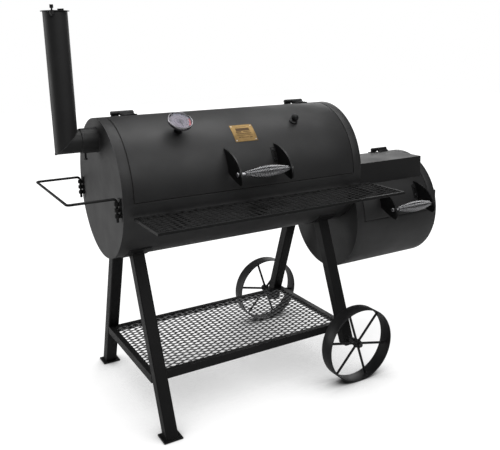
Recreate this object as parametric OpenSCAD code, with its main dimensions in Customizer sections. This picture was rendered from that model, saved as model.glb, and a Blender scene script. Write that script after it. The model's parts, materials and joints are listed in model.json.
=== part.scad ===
// Barrel charcoal grill with an offset firebox, a chimney, shelves and wagon wheels.
// Millimetres, +Z up, floor at z = 0, +X along the barrel to the firebox, front faces -Y.
// Parts are drawn with x = 0 at the barrel's left end plate and y = 0 on the barrel's axis.
// in_frame() then moves them to the frame whose origin is under the middle of the grill.
// Angles round a barrel count from its front (-Y) up over the top towards the back.

/* [Cooking barrel] */
// Outside diameter of the cooking barrel
barrel_d = 508; // [420:1:612]
// Length of the cooking barrel over its end plates
barrel_l = 984; // [815:1:1185]
// Height of the barrel's axis above the floor
barrel_axis_h = 838; // [780:1:920]
// Thickness of the barrel, firebox and lid sheet
sheet = 3; // [2:0.5:4]
// Width of the fixed band at each end of the barrel
band_w = 36.5; // [30:0.5:50]
// Gap round a closed lid
seam_gap = 3; // [2:0.5:5]
// Angle of the barrel lid's front edge
lid_front_a = -2; // [-6:1:4]
// Angle of the barrel lid's hinged edge
lid_back_a = 102; // [98:1:108]
// Distance of the cooking grates below the barrel's axis
grate_drop = 20; // [10:1:60]

/* [Firebox] */
// Outside diameter of the firebox
firebox_d = 476; // [396:1:572]
// Length of the firebox over its end plates
firebox_l = 440; // [366:1:528]
// Distance of the firebox axis below the barrel axis
firebox_drop = 234.5; // [200:0.5:260]
// Angle of the firebox lid's front edge
firebox_front_a = 2; // [-4:1:8]
// Angle of the firebox lid's hinged edge
firebox_back_a = 95.5; // [92:0.5:100]
// Distance of the warming box front from the firebox axis
warming_y = 185; // [150:1:190]
// Distance of the charcoal grate below the firebox axis
charcoal_drop = 100; // [70:1:120]
// Height of the side door above the firebox axis
door_up = 86.5; // [70:0.5:95]
// Depth of the side door below the firebox axis
door_down = 72.5; // [60:0.5:90]

/* [Chimney] */
// Outside diameter of the chimney tube
stack_d = 80; // [66:1:96]
// Wall of the chimney tube
stack_wall = 2.5; // [1.5:0.5:4]
// Distance of the chimney from the barrel's left end plate
stack_out = 104; // [90:1:140]
// Height of the chimney's mouth
stack_top = 1451.5; // [1300:0.5:1600]

/* [Handles] */
// Height of the fin and rod above the lid's skin, to the rod's centre
grip_out = 77; // [65:1:95]
// Distance between the outer faces of the two fins
grip_span = 213; // [170:1:260]
// Thickness of a fin
fin_t = 6; // [4:1:8]
// Greatest diameter of the coil grip
coil_mid_d = 46; // [36:1:56]
// Diameter of the coil grip at its ends
coil_end_d = 19; // [16:1:26]
// Reach of the lift handle from the barrel's left end plate
lift_reach = 172; // [140:1:220]
// Diameter of the lift handle's rod
lift_rod_d = 9; // [7:0.5:12]

/* [Shelves] */
// Depth of the front work shelf
work_depth = 216; // [150:1:260]
// Distance of the work shelf's top below the barrel's axis
work_drop = 55; // [40:1:80]
// Height of the lower shelf's top
low_shelf_h = 198; // [180:1:240]
// Height of the lower shelf's rails
rail_h = 31; // [25:1:40]

/* [Legs and wheels] */
// Distance of a foot's centre from the middle plane
foot_y = 347; // [320:1:400]
// Width of a leg's square tube
leg_w = 45; // [38:1:54]
// Diameter of a wheel
wheel_d = 305; // [254:1:366]
// Width of a wheel's rim
rim_w = 60; // [50:1:68]
// Distance of a wheel's middle plane from the grill's middle plane
wheel_y = 366; // [366:1:420]
// Diameter of the axle
axle_d = 16; // [13:0.5:19]

/* [Fits] */
// Diameter of a lid hinge's knuckle
knuckle_d = 16; // [14:1:20]
// Diameter of a lid hinge's pin
pin_d = 8; // [6:0.5:9]
// Radial clearance of what turns on a pin or axle
turn_gap = 0.08; // [0.02:0.01:0.1]
// Clearance between sheets that move past each other
slide_gap = 0.5; // [0.3:0.1:1]

/* [Hidden] */
$fn = 96;

barrel_r = barrel_d / 2;
firebox_r = firebox_d / 2;
firebox_h = barrel_axis_h - firebox_drop;
firebox_end_x = barrel_l + firebox_l;
weld = 0.01;
hair = 0.3;
hole_gap = 0.1;

// Lids and the stop strips under their seams
firebox_band_w = 37;
lid_x0 = band_w + seam_gap;
lid_x1 = barrel_l - band_w - seam_gap;
firebox_lid_x0 = barrel_l + firebox_band_w + seam_gap;
firebox_lid_x1 = firebox_end_x - firebox_band_w - seam_gap;
stop_t = 3;
stop_lap = 10;
stop_below_a = 4;
stop_above_a = 3;
stop_short_a = 2;

// Hinges
knuckle_out = 12.8;
hinge_lead_a = 1;
hinge_web_t = 6;
leaf_t = 4;
leaf_gap_a = 0.5;
fixed_leaf_a = 7;
barrel_leaf_a = 9;
firebox_leaf_a = 4.2;
hinge_l = 81;
fixed_l = 28;
knuckle_gap = 1;
barrel_hinge_inset = 79;
firebox_hinge_inset = 71;
pin_head_d = 14;
pin_head_t = 3;
pin_past = 3;
barrel_hinges = [barrel_hinge_inset, barrel_l - barrel_hinge_inset - hinge_l];
firebox_hinges = [barrel_l + firebox_hinge_inset, firebox_end_x - firebox_hinge_inset - hinge_l];

// Chimney
stack_r = stack_d / 2;
stack_margin = 36;
stack_h = barrel_axis_h + barrel_r - stack_r - stack_margin;
collar_l = 57;
collar_t = 3.5;
collar_gap = 0.3;
set_bolt_x = 42;
set_bolt_d = 8;
set_bolt_l = 22;
pipe_in = 10;
damper_t = 2;
damper_d = stack_d + 13;
damper_pivot = [-19.7, -42.8];
damper_tab = [27.7, 34.5];
damper_bolt_d = 6;
damper_lug_t = 10;
damper_lug_w = 14;
damper_eye_r = 9;
damper_lift = 9;
damper_knob_d = 12;
damper_knob_h = 11;
damper_tab_w = 22;
damper_tab_t = 2.5;

// Lid grips
barrel_grip_a = 10.3;
firebox_grip_a = 10.9;
barrel_grip_x = 392;
firebox_grip_x = barrel_l + 129;
grip_bolt_d = 10;
grip_head_d = 16;
grip_head_t = 7;
grip_end_gap = 2;
grip_slack = 15;
coil_steps = 16;
coil_l = grip_span - 2 * fin_t - 2 * grip_end_gap - grip_slack;
coil_outline = concat(
  [for (i = [0:coil_steps]) [coil_end_d / 2 + (coil_mid_d - coil_end_d) / 2 * sin(180 * i / coil_steps),
    coil_l * i / coil_steps]],
  [[grip_bolt_d / 2 + hole_gap, coil_l], [grip_bolt_d / 2 + hole_gap, 0]]
);

// Claw-shaped fin of a grip: x is the height over the skin, y the way up along it
fin_root = 100;
fin_foot_w = 21;
fin_steps = 12;
fin_sunk = 30;
fin_base = 14;
fin_back = [-fin_sunk, fin_root];
fin_tip = [grip_out + 20, -22];
fin_low = [grip_out + 2, -40];
fin_inner = [-8, fin_base];
fin_outline = concat(
  [for (i = [0:fin_steps]) curve(fin_back, [grip_out + 15, fin_root - 32], fin_tip, i / fin_steps)],
  [for (i = [1:fin_steps]) curve(fin_tip, [grip_out + 18, -42], fin_low, i / fin_steps)],
  [for (i = [1:fin_steps]) curve(fin_low, [grip_out - 36, -26], fin_inner, i / fin_steps)],
  [[-fin_sunk, fin_base]]
);

// Lift handle
lift_y = barrel_r - 31;
lift_h = barrel_axis_h + 8;
lift_drop = 80;
lift_bend = 12;
lift_leg_x = 12;
bracket_h = 66;
bracket_w = 24;
bracket_t = 4;
bracket_lug_h = 12;
bracket_low = 15;

// Thermometer, badge and spare port
thermo_x = 248;
thermo_a = 54;
dial_d = 88;
dial_base = 36;
dial_face = 44;
glass_low = 48.5;
glass_t = 1.5;
probe_d = 8;
probe_l = 60;
badge_x = 449;
badge_w = 92;
badge_a = [37, 54];
badge_t = 1.2;
port_x = 728;
port_a = 53;
port_d = 32;
port_hole_d = port_d - 10;

// Work shelf
work_x0 = 30;
work_l = barrel_l + 6;
work_gap = 14;
work_bar = 10;
work_back_y = chord(barrel_r, work_drop) + work_gap;
work_front_y = work_back_y + work_depth;
work_top = barrel_axis_h - work_drop;
mesh_t = 2.5;
mesh_long = 102;
mesh_short = 46;
mesh_strand = 7;
work_gusset_t = 5;
work_gusset_drop = 60;
work_gusset_back = 90;
work_gusset_in = 150;
work_gussets = [work_x0 + work_gusset_in, barrel_l / 2 - work_gusset_t / 2, barrel_l - band_w - work_gusset_t];

// Legs, lower shelf and axle
leg_aim_y = 20;
leg_slope = (foot_y - leg_aim_y) / barrel_axis_h;
leg_lean = atan(leg_slope);
leg_wall = 2.5;
leg_corner = 5;
saddle_t = 4;
saddle_w = 80;
saddle_a = 14;
leg_left_x = 83;
leg_right_x = barrel_l - 97;
foot_t = 6;
foot_l = 70;
foot_w = 66;
wheel_r = wheel_d / 2;
rim_t = 5;
hub_d = 32;
hub_l = 24;
spoke_d = 10;
spokes = 6;
spoke_turn = 43;
leg_end_below_axle = 25;
axle_half_l = wheel_y + 27;
axle_collar_d = 26;
axle_collar_l = 24;
axle_nut_l = 8;
keeper_y = wheel_y + hub_l / 2 + 6;
keeper_d = 4;
keeper_half_l = 14;
washer_d = 30;
washer_t = 2;
low_x0 = leg_left_x - leg_w / 2;
low_l = leg_right_x - leg_left_x + leg_w;
low_half_w = leg_y(low_shelf_h) - leg_w / 2 / cos(leg_lean);
rail_t = 3;
rail_flange = 22;
shelf_bolt_d = 8;
shelf_bolt_h = low_shelf_h - rail_h / 2;

// Firebox openings, side door and fasteners
throat_margin = 24;
throat_top = barrel_axis_h - 58;
fuel_edge = 20;
bolt_d = 8;
bolt_head_d = 14;
bolt_head_t = 5;
bolt_edge = 12;
// Centres of the bolts that join the firebox to the barrel, as (y, z)
lower_bolts = [for (a = [-40, -15, 15, 40])
  [(barrel_r - bolt_edge) * sin(a), barrel_axis_h - (barrel_r - bolt_edge) * cos(a)]];
upper_bolts = [for (a = [-20, 20])
  [(firebox_r - bolt_edge) * sin(a), firebox_h + (firebox_r - bolt_edge) * cos(a)]];
joint_bolts = concat(lower_bolts, upper_bolts);
door_half_w = chord(firebox_r, door_up) - 2;
door_gap = 0.8;
door_depth = 10;
door_sheet = 2.5;
door_x0 = firebox_end_x + door_gap;
door_x1 = door_x0 + door_depth;
door_pin_x = door_x1 + 5;
door_pin_y = door_half_w + 9;
door_pin_d = 6;
door_knuckle_d = 11;
door_knuckle_l = 25;
door_grip_y = 130;
door_grip_out = 35;
door_grip_half_h = 30;
door_rod_d = 9;
door_arm_d = 8;
vent_y = 60;
vent_h = 60;
vent_slot_w = 18;
vent_pitch = 40;
vent_half_w = 72;
vent_t = 2;
guide_t = 5;
guide_lip = 4;
guide_past = 14;
vent_slots = [-vent_pitch, 0, vent_pitch];

// Grates
grate_t = 8;
grate_bar = 6;
grate_count = 4;
grate_gap = 3;
grate_end_gap = 16;
grate_side_gap = 5;
grate_slots = 12;
rail_w = 26;
shelf_rail_t = 4;
charcoal_t = 12;
charcoal_bar = 12;
charcoal_slots = 14;
charcoal_end_gap = 14;
grate_top = barrel_axis_h - grate_drop;
grate_half_w = chord(barrel_r - sheet, grate_drop + grate_t) - grate_side_gap;
grate_l = (barrel_l - 2 * sheet - 2 * grate_end_gap - (grate_count - 1) * grate_gap) / grate_count;
charcoal_half_w = chord(firebox_r - sheet, charcoal_drop + charcoal_t) - grate_side_gap;
drain_x = 108;
drain_d = 26;
drain_l = 24;

// Warming box on the firebox lid
warming_x0 = firebox_lid_x0 + 6;
warming_x1 = firebox_lid_x1 - 12;
warming_leaf_gap = 1.4;
warming_back_y = -firebox_r * cos(firebox_back_a - firebox_leaf_a) - warming_leaf_gap;
warming_top = firebox_r + sheet;
warming_rest = chord(firebox_r, warming_y);
warming_lap = 8;

// Where the grill's middle lies between its outermost points
left_end = -lift_reach - lift_rod_d / 2;
right_end = door_x1 + door_grip_out + door_rod_d / 2;
mid_x = (left_end + right_end) / 2;
mid_y = (axle_half_l - work_front_y) / 2;

function seam_a(r) = seam_gap / r * 180 / PI;
function chord(r, off) = sqrt(r * r - off * off);
function leg_y(z) = foot_y - leg_slope * z;
function polar(r, a) = [-r * cos(a), r * sin(a)];
function curve(a, b, c, t) = (1 - t) * (1 - t) * a + 2 * t * (1 - t) * b + t * t * c;

module in_frame() {
  translate([-mid_x, -mid_y, 0]) children();
}

// Extrudes a (y, z) outline along x from x0
module along_x(x0, length) {
  translate([x0, 0, 0]) rotate([90, 0, 90]) linear_extrude(height = length) children();
}

module at_barrel() {
  translate([0, 0, barrel_axis_h]) children();
}

module at_firebox() {
  translate([0, 0, firebox_h]) children();
}

module rod_x(r, x0, x1) {
  translate([x0, 0, 0]) rotate([0, 90, 0]) cylinder(r = r, h = x1 - x0);
}

module rod_y(r, y0, y1) {
  translate([0, y1, 0]) rotate([90, 0, 0]) cylinder(r = r, h = y1 - y0);
}

// Part of a barrel's wall between two angles
module arc_band(r_in, r_out, x0, x1, a0, a1) {
  rotate([90, 0, -90]) rotate([0, 0, a0]) rotate_extrude(angle = a1 - a0)
    translate([r_in, -x1]) square([r_out - r_in, x1 - x0]);
}

// Puts +Z along the lid's outward normal, at the skin
module on_lid(x, a) {
  at_barrel() translate([x, 0, 0]) rotate([90 - a, 0, 0]) translate([0, 0, barrel_r]) children();
}

// A straight bar between two points of an outline
module bar_2d(p, q, w) {
  d = q - p;
  translate(p) rotate(atan2(d[1], d[0])) translate([0, -w / 2]) square([norm(d), w]);
}

module rounded_square(w, r) {
  translate([-w / 2, -w / 2 + r]) square([w, w - 2 * r]);
  translate([-w / 2 + r, -w / 2]) square([w - 2 * r, w]);
  for (sx = [-1, 1], sy = [-1, 1]) translate([sx * (w / 2 - r), sy * (w / 2 - r)]) circle(r = r);
}

// --- Cooking barrel -------------------------------------------------------------------------

module barrel_shell() color("#1b1b1c") in_frame() difference() {
  at_barrel() difference() {
    rod_x(barrel_r, sheet, barrel_l - sheet);
    rod_x(barrel_r - sheet, 0, barrel_l);
    arc_band(barrel_r - 2 * sheet, barrel_r + sheet, band_w, barrel_l - band_w,
      lid_front_a - seam_a(barrel_r), lid_back_a + seam_a(barrel_r));
  }
  translate([drain_x, 0, barrel_axis_h - barrel_r - drain_l]) cylinder(d = drain_d, h = 2 * drain_l);
}

module barrel_end_left() color("#4a4a4b") in_frame() difference() {
  at_barrel() rod_x(barrel_r, 0, sheet);
  translate([0, 0, stack_h]) rod_x(stack_r + collar_gap, -sheet, 2 * sheet);
}

// The opening that lets heat and smoke from the firebox into the barrel
module throat() intersection() {
  at_barrel() rod_x(barrel_r - throat_margin, barrel_l - 2 * sheet, barrel_l + 2 * sheet);
  at_firebox() rod_x(firebox_r - throat_margin, barrel_l - 2 * sheet, barrel_l + 2 * sheet);
  translate([barrel_l - 2 * sheet, -barrel_r, 0]) cube([4 * sheet, 2 * barrel_r, throat_top]);
}

module joint_bolt_holes() {
  for (p = joint_bolts) translate([0, p[0], p[1]])
    rod_x(bolt_d / 2 + hole_gap, barrel_l - 2 * sheet, barrel_l + 2 * sheet);
}

module barrel_end_right() color("#202021") in_frame() difference() {
  at_barrel() rod_x(barrel_r, barrel_l - sheet, barrel_l);
  throat();
  joint_bolt_holes();
}

// An arc under a lid's end seam: full height under the band, lower under the lid
module end_stop(r, x_band, x_lid, a0, a1) {
  arc_band(r - stop_t - hair, r - hair, min(x_band, x_lid), max(x_band, x_lid), a0, a1);
  x_edge = x_band + sign(x_lid - x_band) * stop_lap;
  arc_band(r - stop_t, r, min(x_band, x_edge), max(x_band, x_edge), a0, a1);
}

module front_stop(r, x0, x1, a) {
  arc_band(r - stop_t - hair, r - hair, x0, x1, a - stop_below_a, a + stop_above_a);
  arc_band(r - stop_t, r, x0, x1, a - stop_below_a, a - 1.5 * seam_a(r));
}

module stop_set(r, x0, x1, a0, a1) {
  lap = stop_lap + seam_gap + stop_lap;
  side_a0 = a0 + stop_above_a + stop_short_a / 2;
  end_stop(r, x0 - stop_lap, x0 - stop_lap + lap, side_a0, a1 - stop_short_a);
  end_stop(r, x1 + stop_lap, x1 + stop_lap - lap, side_a0, a1 - stop_short_a);
  front_stop(r, x0 - stop_lap, x1 + stop_lap, a0);
}

module barrel_stop_strips() color("#151515") in_frame() at_barrel()
  stop_set(barrel_r - sheet, band_w, barrel_l - band_w, lid_front_a, lid_back_a);

// --- Hinges ---------------------------------------------------------------------------------

function hinge_axis(r, a) = polar(r + knuckle_out, a + hinge_lead_a);

module hinge_tube(r, a, x0, length, bore_r) {
  axis = hinge_axis(r, a);
  translate([0, axis[0], axis[1]]) difference() {
    rod_x(knuckle_d / 2, x0, x0 + length);
    rod_x(bore_r, x0 - 1, x0 + length + 1);
  }
}

// A knuckle on its leaf; from_a to to_a is the leaf and web_a where the web stands on it
module hinge_half(r, a, x0, length, from_a, to_a, web_a, bore_r) {
  hinge_tube(r, a, x0, length, bore_r);
  difference() {
    union() {
      arc_band(r - sheet, r + leaf_t, x0, x0 + length, from_a, to_a);
      along_x(x0, length) bar_2d(polar(r + leaf_t / 2, web_a), hinge_axis(r, a), hinge_web_t);
    }
    rod_x(r, x0 - 1, x0 + length + 1);
    along_x(x0 - 1, length + 2) translate(hinge_axis(r, a)) circle(r = knuckle_d / 2 - 1);
  }
}

// The half welded to the barrel behind the seam
module fixed_hinge(r, a, x0) {
  foot_a = a + seam_a(r) + leaf_gap_a;
  hinge_half(r, a, x0, fixed_l, foot_a, foot_a + fixed_leaf_a, foot_a + 2, pin_d / 2);
}

// The half welded to the lid in front of the seam
module lid_hinge(r, a, x0, leaf_a) {
  before = fixed_l + knuckle_gap;
  hinge_half(r, a, x0 + before, hinge_l - before, a - leaf_a, a - leaf_gap_a, a - 3,
    pin_d / 2 + turn_gap);
}

module hinge_knuckles() color("#141414") in_frame() {
  for (x = barrel_hinges) at_barrel() fixed_hinge(barrel_r, lid_back_a, x);
  for (x = firebox_hinges) at_firebox() fixed_hinge(firebox_r, firebox_back_a, x);
}

module lid_pin(r, a, x0) {
  axis = hinge_axis(r, a);
  translate([0, axis[0], axis[1]]) {
    rod_x(pin_d / 2, x0 - weld, x0 + hinge_l + pin_past);
    rod_x(pin_head_d / 2, x0 - pin_head_t, x0);
  }
}

module hinge_pins() color("#2b2b2c") in_frame() {
  for (x = barrel_hinges) at_barrel() lid_pin(barrel_r, lid_back_a, x);
  for (x = firebox_hinges) at_firebox() lid_pin(firebox_r, firebox_back_a, x);
  translate([door_pin_x, door_pin_y, firebox_h - 1.5 * door_knuckle_l - 3]) {
    cylinder(d = door_pin_d, h = 3 * door_knuckle_l + 3);
    translate([0, 0, 3 * door_knuckle_l + 3]) cylinder(d = door_knuckle_d, h = 2.5);
  }
}

// --- Chimney --------------------------------------------------------------------------------

module stack_collar() color("#181818") in_frame() difference() {
  translate([0, 0, stack_h]) difference() {
    rod_x(stack_r + collar_gap + collar_t, -collar_l, 0);
    rod_x(stack_r + collar_gap, -collar_l - 1, 1);
  }
  translate([-set_bolt_x, 0, stack_h - stack_r - 10]) cylinder(d = set_bolt_d, h = 10);
}

// The half space on the chimney's side of the mitre; side is 1 for the upright tube
module mitre(side) {
  big = 3 * stack_d;
  translate([-stack_out, 0, stack_h]) rotate([0, -45, 0])
    translate([-big, -big, side > 0 ? -2 * big : 0]) cube([2 * big, 2 * big, 2 * big]);
}

module stack_elbow() color("#202021") in_frame() difference() {
  translate([0, 0, stack_h]) difference() {
    rod_x(stack_r, -stack_out - 2 * stack_r, sheet + pipe_in);
    rod_x(stack_r - stack_wall, -stack_out - 3 * stack_r, sheet + pipe_in + 1);
  }
  mitre(-1);
}

module stack_tube() color("#262627") in_frame() {
  difference() {
    translate([-stack_out, 0, stack_h - 2 * stack_r]) difference() {
      cylinder(r = stack_r, h = stack_top - stack_h + 2 * stack_r);
      translate([0, 0, -1]) cylinder(r = stack_r - stack_wall, h = stack_top);
    }
    mitre(1);
  }
  damper_lug();
}

// The ear on the chimney's rim that the damper turns on
module damper_lug() {
  reach = norm(damper_pivot);
  turn = atan2(damper_pivot[1], damper_pivot[0]);
  inner_r = stack_r - stack_wall;
  translate([-stack_out, 0, stack_top - damper_lug_t]) rotate([0, 0, turn]) difference() {
    union() {
      translate([inner_r, -damper_lug_w / 2, 0]) cube([reach - inner_r, damper_lug_w, damper_lug_t]);
      translate([reach, 0, 0]) cylinder(d = damper_lug_w, h = damper_lug_t);
    }
    cylinder(r = stack_r - stack_wall / 2, h = 3 * damper_lug_t, center = true);
    translate([reach, 0, -1]) cylinder(d = damper_bolt_d, h = damper_lug_t + 2);
  }
}

module stack_set_bolt() color("#101010") in_frame() {
  translate([-set_bolt_x, 0, stack_h - stack_r - set_bolt_l]) {
    cylinder(d = set_bolt_d, h = set_bolt_l);
    translate([0, 0, -bolt_head_t]) cylinder(d = bolt_head_d, h = bolt_head_t, $fn = 6);
  }
}

// A bolt up through the ear, with a nut below it and a knob above the damper
module damper_bolt() color("#0e0e0e") in_frame()
  translate([damper_pivot[0] - stack_out, damper_pivot[1], stack_top]) {
    shank = damper_lug_t + bolt_head_t;
    translate([0, 0, -shank]) cylinder(d = damper_bolt_d, h = shank + damper_lift + 1);
    translate([0, 0, damper_lift]) cylinder(d = damper_knob_d, h = damper_knob_h);
    translate([0, 0, -shank]) cylinder(d = damper_knob_d - 1, h = bolt_head_t, $fn = 6);
  }

module stack_damper() color("#101010") in_frame()
  translate([-stack_out, 0, stack_top + slide_gap]) {
    difference() {
      union() {
        cylinder(d = damper_d, h = damper_t);
        translate(damper_pivot) cylinder(r = damper_eye_r, h = damper_t);
      }
      translate([damper_pivot[0], damper_pivot[1], -1])
        cylinder(r = damper_bolt_d / 2 + turn_gap, h = damper_t + 2);
    }
    rotate([0, 0, atan2(damper_tab[1], damper_tab[0])])
      translate([damper_d / 2 - damper_tab_t - 1.5, -damper_tab_w / 2, 0])
        cube([damper_tab_t, damper_tab_w, damper_tab_w / 2]);
  }

// --- Lift handle ----------------------------------------------------------------------------

module quarter_bend() rotate_extrude(angle = 90) translate([lift_bend, 0]) circle(d = lift_rod_d);

module lift_side() {
  run = lift_reach - lift_leg_x - 2 * lift_bend;
  translate([-lift_leg_x, lift_y, lift_h - lift_drop])
    cylinder(d = lift_rod_d, h = lift_drop - lift_bend);
  translate([-lift_leg_x - lift_bend, lift_y, lift_h - lift_bend]) rotate([90, 0, 0]) quarter_bend();
  translate([0, lift_y, lift_h])
    rod_x(lift_rod_d / 2, -lift_leg_x - lift_bend - run, -lift_leg_x - lift_bend);
  translate([-lift_reach + lift_bend, lift_y - lift_bend, lift_h]) rotate([0, 0, 90]) quarter_bend();
}

module lift_handle() color("#121212") in_frame() {
  lift_side();
  mirror([0, 1, 0]) lift_side();
  translate([-lift_reach, 0, lift_h]) rod_y(lift_rod_d / 2, lift_bend - lift_y, lift_y - lift_bend);
}

// A plate on the end plate's rim with three eyes, all below the bend, for the handle's leg
module lift_bracket() {
  eye = lift_rod_d / 2 + hole_gap;
  low = lift_h - lift_drop + bracket_low;
  pitch = (lift_h - lift_bend - low - bracket_lug_h) / 2;
  difference() {
    union() {
      translate([-bracket_t, lift_y - bracket_w / 2, low]) cube([bracket_t, bracket_w, bracket_h]);
      for (i = [0:2]) translate([-lift_leg_x, lift_y, low + i * pitch]) {
        cylinder(r = eye + 4, h = bracket_lug_h);
        translate([0, -bracket_w / 4, 0]) cube([lift_leg_x - weld, bracket_w / 2, bracket_lug_h]);
      }
    }
    translate([-lift_leg_x, lift_y, low - 1]) cylinder(r = eye, h = bracket_h + 2);
  }
}

module lift_handle_brackets() color("#0f0f0f") in_frame() {
  lift_bracket();
  mirror([0, 1, 0]) lift_bracket();
}

// --- Shelves --------------------------------------------------------------------------------

function diamond(c, a, b) = [c + [-a, 0], c + [0, -b], c + [a, 0], c + [0, b]];

// A sheet with staggered diamond openings, wide strands and a solid margin
module diamond_sheet(l, w) {
  nx = floor((l - 2 * mesh_strand) / mesh_long);
  ny = floor((w - 2 * mesh_strand) / mesh_short);
  ox = (l - nx * mesh_long) / 2;
  oy = (w - ny * mesh_short) / 2;
  to_side = mesh_long * mesh_short / 2 / norm([mesh_long, mesh_short]);
  open = 1 - mesh_strand / 2 / to_side;
  a = open * mesh_long / 2;
  b = open * mesh_short / 2;
  aligned = [for (i = [0:nx - 1], j = [0:ny - 1]) [ox + (i + 0.5) * mesh_long, oy + (j + 0.5) * mesh_short]];
  between = [for (i = [1:nx - 1], j = [1:ny - 1]) [ox + i * mesh_long, oy + j * mesh_short]];
  centres = concat(aligned, between);
  rim = [[0, 0], [l, 0], [l, w], [0, w]];
  corners = concat(rim, [for (c = centres) each diamond(c, a, b)]);
  loops = [for (k = [0:len(centres)]) [4 * k, 4 * k + 1, 4 * k + 2, 4 * k + 3]];
  linear_extrude(height = mesh_t) polygon(corners, loops);
}

module work_shelf_frame() color("#2c2c2d") in_frame()
  translate([work_x0, -work_front_y, work_top - work_bar]) difference() {
    cube([work_l, work_depth, work_bar]);
    translate([work_bar, work_bar, -1])
      cube([work_l - 2 * work_bar, work_depth - 2 * work_bar, work_bar + 2]);
  }

module work_shelf_mesh() color("#1d1d1e") in_frame()
  translate([work_x0 + work_bar, work_bar - work_front_y, work_top - mesh_t])
    diamond_sheet(work_l - 2 * work_bar, work_depth - 2 * work_bar);

// Gussets between the shelf and the barrel
module work_shelf_brackets() color("#161616") in_frame() {
  low = work_top - work_bar;
  for (x = work_gussets) difference() {
    along_x(x, work_gusset_t) polygon([
      [work_gusset_back - work_front_y, low], [-work_back_y, low - work_gusset_drop],
      [3 * work_gap - work_back_y, low - work_gusset_drop], [3 * work_gap - work_back_y, low]
    ]);
    at_barrel() rod_x(barrel_r, x - 1, x + work_gusset_t + 1);
  }
}

module lower_shelf_frame() color("#1c1c1d") in_frame() difference() {
  translate([low_x0, -low_half_w, low_shelf_h - rail_h]) difference() {
    cube([low_l, 2 * low_half_w, rail_h]);
    translate([rail_t, rail_t, -1])
      cube([low_l - 2 * rail_t, 2 * (low_half_w - rail_t), rail_h + 1 - rail_t]);
    translate([rail_flange, rail_flange, -1])
      cube([low_l - 2 * rail_flange, 2 * (low_half_w - rail_flange), rail_h + 2]);
  }
  for (x = [leg_left_x, leg_right_x]) translate([x, 0, shelf_bolt_h])
    rod_y(shelf_bolt_d / 2 + hole_gap, -low_half_w - 1, low_half_w + 1);
}

module lower_shelf_mesh() color("#323233") in_frame()
  translate([low_x0 + rail_t, rail_t - low_half_w, low_shelf_h - rail_t - mesh_t])
    diamond_sheet(low_l - 2 * rail_t, 2 * (low_half_w - rail_t));

// A bolt from inside the rail through the leg's inner wall
module shelf_bolts() color("#0d0d0d") in_frame() {
  reach = leg_y(shelf_bolt_h) - leg_w / 2 / cos(leg_lean) + leg_wall + 6;
  for (x = [leg_left_x, leg_right_x], s = [0, 1]) mirror([0, s, 0]) translate([x, 0, shelf_bolt_h]) {
    rod_y(shelf_bolt_d / 2, low_half_w - rail_t - weld, reach);
    translate([0, low_half_w - rail_t, 0]) rotate([90, 0, 0])
      cylinder(d = bolt_head_d, h = bolt_head_t, $fn = 6);
  }
}

// --- Legs, axle and wheels ------------------------------------------------------------------

// A square tube that leans in towards the barrel; side is -1 at the front and 1 at the back
module leg(x, side, low) {
  tall = (barrel_axis_h - barrel_r / 2) / cos(leg_lean) + leg_w;
  difference() {
    translate([x, side * foot_y, 0]) rotate([side * leg_lean, 0, 0]) translate([0, 0, -leg_w]) difference() {
      linear_extrude(height = tall) rounded_square(leg_w, leg_corner);
      translate([0, 0, -1]) linear_extrude(height = tall + 2)
        rounded_square(leg_w - 2 * leg_wall, leg_corner - leg_wall);
    }
    translate([x - leg_w, side * foot_y - 2 * leg_w, low - 400]) cube([2 * leg_w, 4 * leg_w, 400]);
    at_barrel() rod_x(barrel_r + saddle_t, x - leg_w, x + leg_w);
    translate([x, 0, shelf_bolt_h])
      rod_y(shelf_bolt_d / 2 + hole_gap, -leg_y(shelf_bolt_h), leg_y(shelf_bolt_h));
    if (low > foot_t) translate([x, 0, wheel_r])
      rod_y(axle_d / 2 + hole_gap, -axle_half_l, axle_half_l);
  }
}

module leg_front_left() color("#1f1f20") in_frame() leg(leg_left_x, -1, foot_t);
module leg_rear_left() color("#1a1a1b") in_frame() leg(leg_left_x, 1, foot_t);
module leg_front_right() color("#1f1f20") in_frame() leg(leg_right_x, -1, wheel_r - leg_end_below_axle);
module leg_rear_right() color("#1a1a1b") in_frame() leg(leg_right_x, 1, wheel_r - leg_end_below_axle);

module foot_plates() color("#171718") in_frame() {
  for (s = [-1, 1]) translate([leg_left_x - foot_l / 2, s * leg_y(foot_t) - foot_w / 2, 0])
    cube([foot_l, foot_w, foot_t]);
}

// Curved plates between the legs and the barrel
module leg_saddles() color("#141415") in_frame() {
  meet = asin(leg_aim_y * cos(leg_lean) / barrel_r);
  mid = leg_lean + meet;
  for (x = [leg_left_x, leg_right_x]) at_barrel() {
    arc_band(barrel_r, barrel_r + saddle_t, x - saddle_w / 2, x + saddle_w / 2,
      mid - 90 - saddle_a, mid - 90 + saddle_a);
    arc_band(barrel_r, barrel_r + saddle_t, x - saddle_w / 2, x + saddle_w / 2,
      -90 - mid - saddle_a, -90 - mid + saddle_a);
  }
}

// A stub axle through each wheeled leg, with a nut inside and a collar outside the leg
module axle() color("#202021") in_frame() for (s = [0, 1]) mirror([0, s, 0])
  translate([leg_right_x, 0, wheel_r]) difference() {
    collar_y = wheel_y - hub_l / 2 - slide_gap;
    nut_y = leg_y(wheel_r + axle_collar_d / 2) - leg_w / 2 / cos(leg_lean) - hair;
    union() {
      rod_y(axle_d / 2, nut_y - axle_nut_l, axle_half_l);
      rod_y(axle_collar_d / 2, collar_y - axle_collar_l, collar_y);
      rod_y(axle_collar_d / 2, nut_y - axle_nut_l, nut_y);
    }
    translate([0, keeper_y, 0]) cylinder(r = keeper_d / 2 + hole_gap, h = 2 * axle_d, center = true);
  }

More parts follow.
